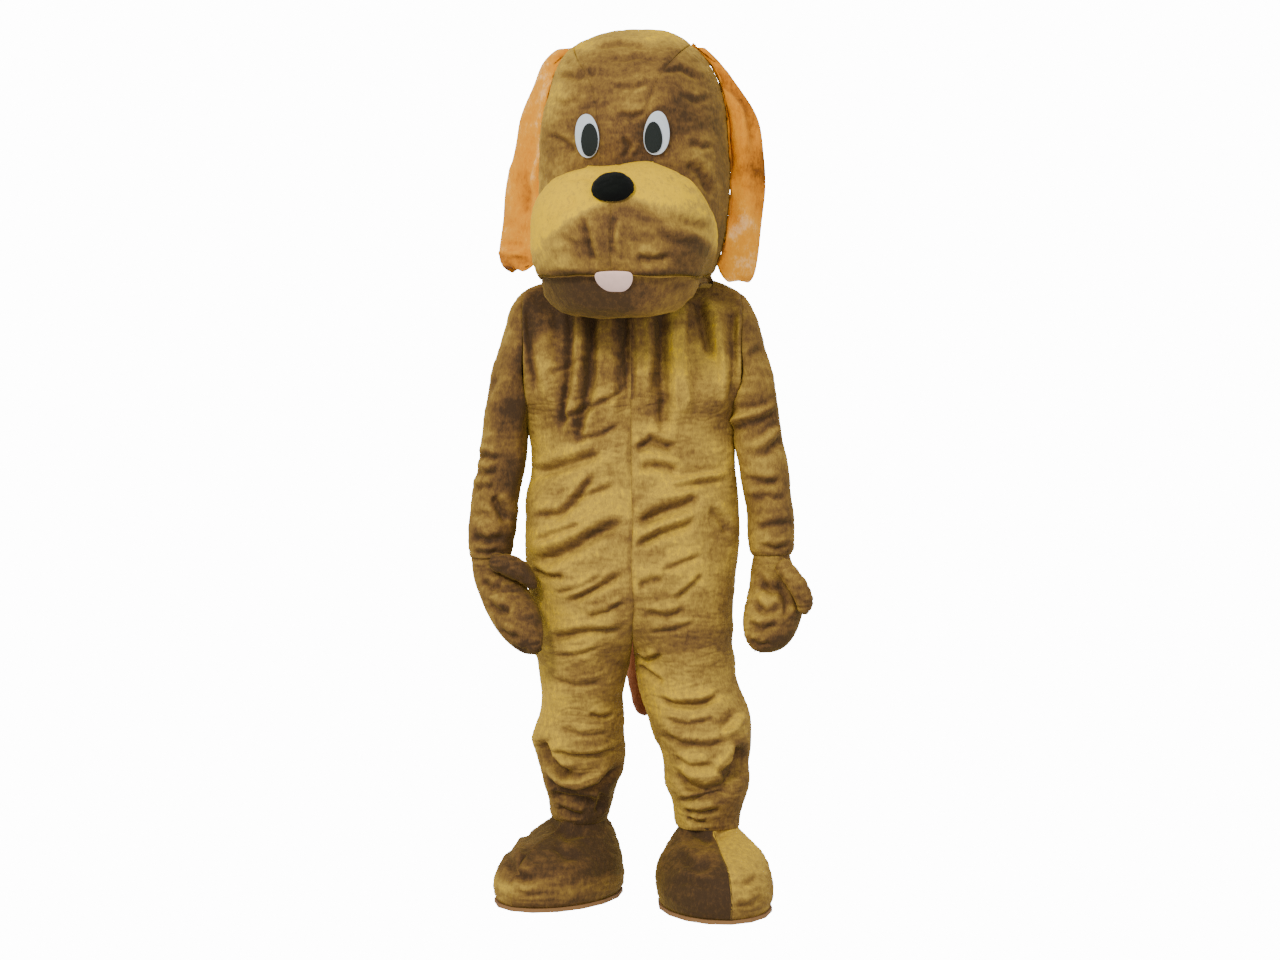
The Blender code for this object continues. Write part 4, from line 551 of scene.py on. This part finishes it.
def noise_node(tree, size, detail, stretch=(1.0, 1.0, 1.0)):
    """Noise in real sizes: size is about the width of one blotch, in metres."""
    place = tree.nodes.new("ShaderNodeTexCoord")
    scale = tree.nodes.new("ShaderNodeMapping")
    scale.inputs["Scale"].default_value = stretch
    pattern = tree.nodes.new("ShaderNodeTexNoise")
    pattern.inputs["Scale"].default_value = 1.0 / size
    pattern.inputs["Detail"].default_value = detail
    tree.links.new(place.outputs["Object"], scale.inputs["Vector"])
    tree.links.new(scale.outputs["Vector"], pattern.inputs["Vector"])
    return pattern.outputs["Fac"]


def spread(tree, value, low, high, new_low, new_high):
    """Stretches a value from one range to another."""
    node = tree.nodes.new("ShaderNodeMapRange")
    node.inputs["From Min"].default_value = low
    node.inputs["From Max"].default_value = high
    node.inputs["To Min"].default_value = new_low
    node.inputs["To Max"].default_value = new_high
    tree.links.new(value, node.inputs["Value"])
    return node.outputs["Result"]


def combine(tree, operation, first, second):
    node = tree.nodes.new("ShaderNodeMath")
    node.operation = operation
    for socket, value in zip(node.inputs, (first, second)):
        if isinstance(value, float):
            socket.default_value = value
        else:
            tree.links.new(value, socket)
    return node.outputs["Value"]


def ramp(tree, value, stops):
    node = tree.nodes.new("ShaderNodeValToRGB")
    tree.links.new(value, node.inputs["Fac"])
    elements = node.color_ramp.elements
    for place, colour in stops[2:]:
        elements.new(place)
    for element, (place, colour) in zip(elements, sorted(stops)):
        element.position = place
        element.color = (*colour, 1.0)
    return node.outputs["Color"]


def bump(tree, height, distance, strength, normal=None):
    node = tree.nodes.new("ShaderNodeBump")
    node.inputs["Distance"].default_value = distance
    node.inputs["Strength"].default_value = strength
    tree.links.new(height, node.inputs["Height"])
    if normal is not None:
        tree.links.new(normal, node.inputs["Normal"])
    return node.outputs["Normal"]


def pile_bump(tree, surface, fibre):
    """Tufts of pile, and single fibres that lie down the cloth."""
    tufts = noise_node(tree, fibre * 5.0, 3.0, (1.0, 1.0, 0.55))
    fibres = noise_node(tree, fibre, 2.0, (1.0, 1.0, 0.30))
    soft = bump(tree, tufts, 0.0030, 0.55)
    tree.links.new(bump(tree, fibres, 0.0012, 0.55, soft), surface.inputs["Normal"])
    return tufts, fibres


def plush(name, stops, fibre=0.0016, sheen=0.28, sheen_tint=(1.0, 0.62, 0.05)):
    """Pile fabric whose colour follows the pile value of each point, which carries painted light and shade."""
    material, tree, surface = shader(name, 0.82)
    surface.inputs["Sheen Weight"].default_value = sheen
    surface.inputs["Sheen Roughness"].default_value = 0.45
    surface.inputs["Sheen Tint"].default_value = (*sheen_tint, 1.0)
    surface.inputs["Specular IOR Level"].default_value = 0.12
    tufts, fibres = pile_bump(tree, surface, fibre)
    # A per-point pile value, with painted light and shade from facing and from creases in it.
    pile_and_painted_light = tree.nodes.new("ShaderNodeAttribute")
    pile_and_painted_light.attribute_name = "pile_and_painted_light"
    value = combine(tree, "ADD", pile_and_painted_light.outputs["Fac"], spread(tree, tufts, 0.3, 0.7, -0.10, 0.10))
    value = combine(tree, "ADD", value, spread(tree, fibres, 0.3, 0.7, -0.09, 0.09))
    tree.links.new(ramp(tree, value, stops), surface.inputs["Base Color"])
    return material


def woven(name, colour, roughness, thread, contrast):
    """A flat cloth with a fine over and under weave."""
    material, tree, surface = shader(name, roughness)
    place = tree.nodes.new("ShaderNodeTexCoord")
    waves = []
    for direction in ("X", "Z"):
        wave = tree.nodes.new("ShaderNodeTexWave")
        wave.bands_direction = direction
        wave.inputs["Scale"].default_value = 0.3 / thread
        wave.inputs["Distortion"].default_value = 0.6
        tree.links.new(place.outputs["Object"], wave.inputs["Vector"])
        waves.append(wave.outputs["Fac"])
    weave = combine(tree, "MULTIPLY", waves[0], waves[1])
    blotch = spread(tree, noise_node(tree, 0.012, 3.0), 0.3, 0.7, -0.5 * contrast, 0.5 * contrast)
    value = combine(tree, "ADD", spread(tree, weave, 0.0, 1.0, 0.5 - contrast, 0.5 + contrast), blotch)
    dark = tuple(channel * 0.55 for channel in colour)
    light = tuple(min(1.0, channel * 1.12) for channel in colour)
    tree.links.new(ramp(tree, value, [(0.0, dark), (0.7, colour), (1.0, light)]), surface.inputs["Base Color"])
    tree.links.new(bump(tree, weave, 0.0004, 0.4), surface.inputs["Normal"])
    return material, surface


GOLD_STOPS = [
    (0.00, (0.050, 0.027, 0.013)), (0.22, (0.115, 0.057, 0.019)), (0.45, (0.205, 0.114, 0.026)),
    (0.68, (0.345, 0.214, 0.038)), (0.86, (0.500, 0.315, 0.034)), (1.00, (0.740, 0.455, 0.002)),
]
ORANGE_STOPS = [
    (0.00, (0.180, 0.055, 0.008)), (0.25, (0.480, 0.150, 0.006)), (0.50, (0.720, 0.250, 0.006)),
    (0.78, (0.820, 0.330, 0.014)), (1.00, (0.950, 0.520, 0.170)),
]
# The ears' orange plush, darkened to reddish brown as painted shade, for the tail.
TAIL_SHADE_STOPS = [
    (0.00, (0.110, 0.032, 0.012)), (0.45, (0.280, 0.085, 0.030)), (0.75, (0.400, 0.140, 0.052)),
    (1.00, (0.520, 0.210, 0.090)),
]
BLACK_STOPS = [
    (0.00, (0.001, 0.001, 0.001)), (0.50, (0.002, 0.003, 0.002)), (0.80, (0.005, 0.006, 0.005)),
    (1.00, (0.016, 0.016, 0.015)),
]

gold_plush = plush("gold_plush", GOLD_STOPS)
orange_plush = plush("orange_plush", ORANGE_STOPS, 0.0014, 0.10, (1.0, 0.55, 0.15))
# The tail's plush is the orange plush in painted shade.
tail_plush = plush("tail_plush", TAIL_SHADE_STOPS, 0.0014, 0.20, (1.0, 0.50, 0.30))
black_plush = plush("black_plush", BLACK_STOPS, 0.0011, 0.04, (0.5, 0.5, 0.5))
pink_felt, felt_surface = woven("pink_felt", (1.0, 0.66, 0.56), 0.9, 0.0007, 0.10)
felt_surface.inputs["Sheen Weight"].default_value = 0.3
white_satin, satin_surface = woven("white_satin", (0.66, 0.73, 0.79), 0.42, 0.0004, 0.10)
black_satin, pupil_surface = woven("black_satin", (0.010, 0.015, 0.013), 0.60, 0.0004, 0.16)
pupil_surface.inputs["Specular IOR Level"].default_value = 0.20
sole_cloth, sole_surface = woven("sole_cloth", (0.30, 0.145, 0.045), 0.9, 0.0010, 0.16)


# Where one part of the costume is lighter or darker than the rest, partly as painted highlight and painted
# shade
CHIN_DROP = 0.032


def torso_tone_and_shade(points, normals):
    """Brown over the chest and round the shins, more on the wearer's right, and gold over the wearer's left
    belly, with painted shade across the top of the chest under the head.
    """
    height = points[:, 2] - FLOOR
    chest = smooth((height - 0.86) / 0.14)
    right_chest = chest * smooth((-points[:, 0] + 0.02) / 0.08)
    left_belly = smooth((points[:, 0] - 0.02) / 0.08) * smooth((height - 0.55) / 0.20)
    shins = smooth((0.33 - height) / 0.14)
    right_shin = shins * smooth((-points[:, 0]) / 0.04)
    # Painted shade across the top of the chest, under the head.
    shade_under_head = smooth((height - 1.08) / 0.10)
    darker = 0.12 * chest + 0.16 * right_chest + 0.38 * shade_under_head + 0.18 * shins + 0.30 * right_shin
    return 0.05 + 0.17 * left_belly - darker


def head_painted_highlight(points, normals):
    """Painted highlight over the crown and down the wearer's right cheek, and a little more down the left
    cheek.
    """
    height = points[:, 2] - FLOOR
    # Painted highlight over the crown and down the sides of the head.
    crown = smooth((height - 1.645) / 0.08)
    right_cheek = smooth((-points[:, 0] - 0.09) / 0.06)
    left_cheek = smooth((points[:, 0] - 0.08) / 0.06)
    return 0.42 * crown + 0.16 * right_cheek + 0.20 * left_cheek - 0.04


def muzzle_light_and_shade(points, normals):
    """Painted highlight on top of the cheeks, brown below the line where they swell out, a little lighter on
    the wearer's right cheek, and painted shade low under the muzzle.
    """
    height = points[:, 2] - FLOOR
    line = 1.392 - 0.66 * np.abs(points[:, 0] + 0.02) ** 1.1
    # Painted highlight on top of the cheeks.
    top = smooth((height - line + 0.012) / 0.030)
    cheek = smooth((-points[:, 0] - 0.085) / 0.05) * smooth((height - 1.235) / 0.04)
    # Painted shade under the muzzle and on the chin.
    under = smooth((1.262 - height) / 0.035)
    return 0.60 * top + 0.26 * cheek * (1.0 - top) - 0.04 - 0.42 * under


def chin_shape(points, normals):
    """The chin hangs lower in front, clear of the chest."""
    away = edge_distance(bpy.data.objects["muzzle_chin_cloth"].data, points)
    drop = CHIN_DROP * smooth((away - 0.004) / 0.05) * smooth((-points[:, 1] - 0.10) / 0.07)
    return points - np.column_stack([np.zeros(len(drop)), np.zeros(len(drop)), drop])


def ear_tone(side):
    def tone(points, normals):
        height = points[:, 2] - FLOOR
        if side == "left":
            return 0.54 * smooth((1.47 - height) / 0.16) * smooth((points[:, 0] - 0.195) / 0.035)
        return 0.10 * smooth((points[:, 0] + 0.235) / 0.03) - 0.25 * smooth((1.312 - height) / 0.02)
    return tone


FOOT_TONES = {("left", "outer"): 0.34, ("left", "inner"): -0.52}
SLEEVE_TONES = {"right": -0.13, "left": 0.06}
MITT_TONES = {"right": -0.16, "left": 0.02}


def foot_tone(side, half):
    def tone(points, normals):
        height = points[:, 2] - FLOOR
        if side == "left":
            return np.full(len(points), FOOT_TONES[(side, half)])
        return 0.66 * smooth((0.085 - height) / 0.05) - 0.48
    return tone


def sleeve_tone(side):
    def tone(points, normals):
        return SLEEVE_TONES[side] + 0.20 * smooth((-SIDES[side] * normals[:, 0]) * 0.5)
    return tone


def mitt_tone(side):
    def tone(points, normals):
        return np.full(len(points), MITT_TONES[side])
    return tone


def cloth_trees(nodes):
    """The finished cloth of some pieces, for other cloth to lie on."""
    trees = []
    for node in nodes:
        skin = bmesh.new()
        skin.from_mesh(bpy.data.objects[node + "_cloth"].data)
        trees.append(BVHTree.FromBMesh(skin))
        skin.free()
    return trees


def held_clear(place, trees, clearance):
    """Moves a point out until it lies clear of the cloth that it would go into."""
    spot = Vector(place)
    for tree in trees:
        near, out, face, gap = tree.find_nearest(spot, 0.06)
        if near is not None and (spot - near).dot(out) < clearance:
            spot = near + out * clearance
    return spot


SLEEVE_FULLNESS = {"right": 0.018, "left": 0.024}
SLEEVE_REST = 0.0015


def full_sleeve(side):
    """The sleeve bags out towards the body between the armhole and the elbow."""
    def shape(points, normals):
        height = points[:, 2] - FLOOR
        facing = smooth(-SIDES[side] * normals[:, 0])
        span = smooth((1.06 - height) / 0.06) * smooth((height - 0.76) / 0.16)
        shift = SLEEVE_FULLNESS[side] * facing * span
        inward = Vector((-SIDES[side], 0.0, 0.0))
        trees = cloth_trees([f"front_{side}", f"back_{side}"])
        for index in np.nonzero(shift > 0.0)[0]:
            for tree in trees:
                gap = tree.ray_cast(Vector(points[index]), inward)[3]
                if gap is not None:
                    shift[index] = min(shift[index], max(gap - SLEEVE_REST, 0.0))
        fuller = points.copy()
        fuller[:, 0] += inward.x * shift
        return fuller
    return shape


# Pieces. flat is the width and length of the cut, and area is its share of that rectangle.
Cut = namedtuple("Cut", "flat share held")


def build_jumpsuit():
    for side, seed in (("right", 11), ("left", 12)):
        for face in ("front", "back"):
            cloth = JUMPSUIT_FRONT if face == "front" else JUMPSUIT_BACK
            piece = cloth_piece(f"{face}_{side}", cloth, gold_plush, seed, torso_tone_and_shade)
        sleeve = cloth_piece(f"sleeve_{side}", SLEEVE, gold_plush, seed + 10,
                             sleeve_tone(side), full_sleeve(side))
    cloth_piece("neckband", SLEEVE, gold_plush, 31)
    cloth_piece("back_placket", SLEEVE, gold_plush, 32)


def build_head():
    for node in ("head_gusset", "head_side_right", "head_side_left", "head_back"):
        cloth_piece(node, HEAD, gold_plush, 41, head_painted_highlight)
    for node, shape in (("muzzle_right", None), ("muzzle_left", None), ("muzzle_chin", chin_shape)):
        cloth_piece(node, MUZZLE, gold_plush, 45, muzzle_light_and_shade, shape)


EAR_LEANS = {"right": 0.028, "left": 0.046}
EAR_RESTS = {"front": 0.0045, "back": 0.0015}


def leaned_on_head(side, trees, rest):
    """Swings an ear in until it lies against the side of the head."""
    def shape(points, normals):
        low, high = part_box(f"ear_front_{side}")
        inner = 1.0 - smooth((np.abs(points[:, 0]) - min(abs(low[0]), abs(high[0]))) / (high[0] - low[0]))
        hang = smooth((high[2] - points[:, 2]) / 0.08)
        leaned = points.copy()
        leaned[:, 0] -= SIDES[side] * EAR_LEANS[side] * (0.4 + 0.6 * inner) * (0.5 + 0.5 * hang)
        for index, place in enumerate(leaned):
            leaned[index] = held_clear(place, trees, rest)
        return leaned
    return shape


def build_ears():
    trees = cloth_trees(["head_side_right", "head_side_left", "head_gusset", "muzzle_right", "muzzle_left"])
    for side, seed in (("right", 51), ("left", 52)):
        for layer, rest in EAR_RESTS.items():
            shape = leaned_on_head(side, trees, rest)
            node = f"ear_{layer}_{side}"
            piece = cloth_piece(node, EAR, orange_plush, seed, ear_tone(side), shape)


def build_mitts():
    for side, seed in (("right", 61), ("left", 62)):
        for part, cut in (("back", "mitt"), ("palm", "mitt"), ("thumb", "thumb")):
            node = f"mitt_{part}_{side}"
            cloth_piece(node, MITT, gold_plush, seed, mitt_tone(side))


def build_feet():
    for side, seed in (("right", 71), ("left", 72)):
        for half in ("outer", "inner"):
            node = f"foot_{half}_{side}"
            piece = cloth_piece(node, FOOT, gold_plush, seed, foot_tone(side, half))
        node = f"foot_sole_{side}"
        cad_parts[node].data.materials.clear()
        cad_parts[node].data.materials.append(sole_cloth)


def closed_piece(node, cloth, material, seed):
    """A stuffed or flat piece that keeps all of its closed form."""
    piece = subdivided(whole_skin(node), node + "_cloth", cloth.levels)
    work_cloth(piece, cloth, seed, closed=True)
    piece.data.materials.append(material)
    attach(piece, "root")
    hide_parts(node)
    return piece


STUFFED = Cloth([], [], 3, CLOTH_RIM, 0.0012, 0.0020, 0.50)
FLAT = Cloth([], [], 2, CLOTH_RIM, 0.0, 0.0003, 0.50)


def build_face():
    closed_piece("nose", STUFFED, black_plush, 81)
    closed_piece("tail", STUFFED, tail_plush, 82)
    for side in SIDES:
        white = closed_piece(f"eye_white_{side}", FLAT, white_satin, 83)
        pupil = closed_piece(f"pupil_{side}", FLAT, black_satin, 84)
    closed_piece("tongue", FLAT, pink_felt, 85)


# Light, backdrop and camera
BACKDROP_RADIUS = 14.0
BACKDROP_GLOW = 14.0


def aim(obj, target):
    obj.rotation_euler = (Vector(target) - obj.location).to_track_quat("-Z", "Y").to_euler()


def area_light(name, place, target, size, power, colour):
    lamp = bpy.data.lights.new(name, "AREA")
    lamp.shape = "DISK"
    lamp.size = size
    lamp.energy = power
    lamp.color = colour
    holder = bpy.data.objects.new(name, lamp)
    holder.location = place
    bpy.context.scene.collection.objects.link(holder)
    aim(holder, target)


def build_backdrop():
    """A white shell all round that the camera sees, and that neither lights nor shades anything."""
    skin = bmesh.new()
    bmesh.ops.create_icosphere(skin, subdivisions=3, radius=BACKDROP_RADIUS)
    mesh = bpy.data.meshes.new("white_backdrop")
    skin.to_mesh(mesh)
    skin.free()
    backdrop = bpy.data.objects.new("white_backdrop", mesh)
    bpy.context.scene.collection.objects.link(backdrop)
    material = bpy.data.materials.new("white_backdrop")
    material.use_nodes = True
    glow = material.node_tree.nodes.new("ShaderNodeEmission")
    glow.inputs["Strength"].default_value = BACKDROP_GLOW
    output = material.node_tree.nodes["Material Output"]
    material.node_tree.links.new(glow.outputs["Emission"], output.inputs["Surface"])
    mesh.materials.append(material)
    backdrop.visible_diffuse = False
    backdrop.visible_glossy = False
    backdrop.visible_shadow = False


def build_studio():
    world = bpy.data.worlds.new("white_world")
    world.use_nodes = True
    backdrop = world.node_tree.nodes["Background"]
    backdrop.inputs["Color"].default_value = (1.0, 1.0, 1.0, 1.0)
    backdrop.inputs["Strength"].default_value = 1.0
    bpy.context.scene.world = world
    area_light("key_light", (-1.6, -3.4, 1.9), (0.0, 0.0, -0.35), 0.9, 110.0, (1.0, 0.98, 0.94))
    area_light("fill_light", (2.2, -3.0, 0.3), (0.0, 0.0, -0.4), 1.6, 25.0, (0.96, 0.98, 1.0))


def build_camera():
    lens = bpy.data.cameras.new("camera")
    lens.sensor_width = 36.0
    lens.lens = 36.0 * 5.0 / 2.56
    camera = bpy.data.objects.new("camera", lens)
    camera.location = (0.016, -5.0, -0.10)
    bpy.context.scene.collection.objects.link(camera)
    aim(camera, (0.016, 0.0, -0.408))
    bpy.context.scene.camera = camera


build_jumpsuit()
build_head()
build_ears()
build_mitts()
build_feet()
build_face()
build_backdrop()
build_studio()
build_camera()
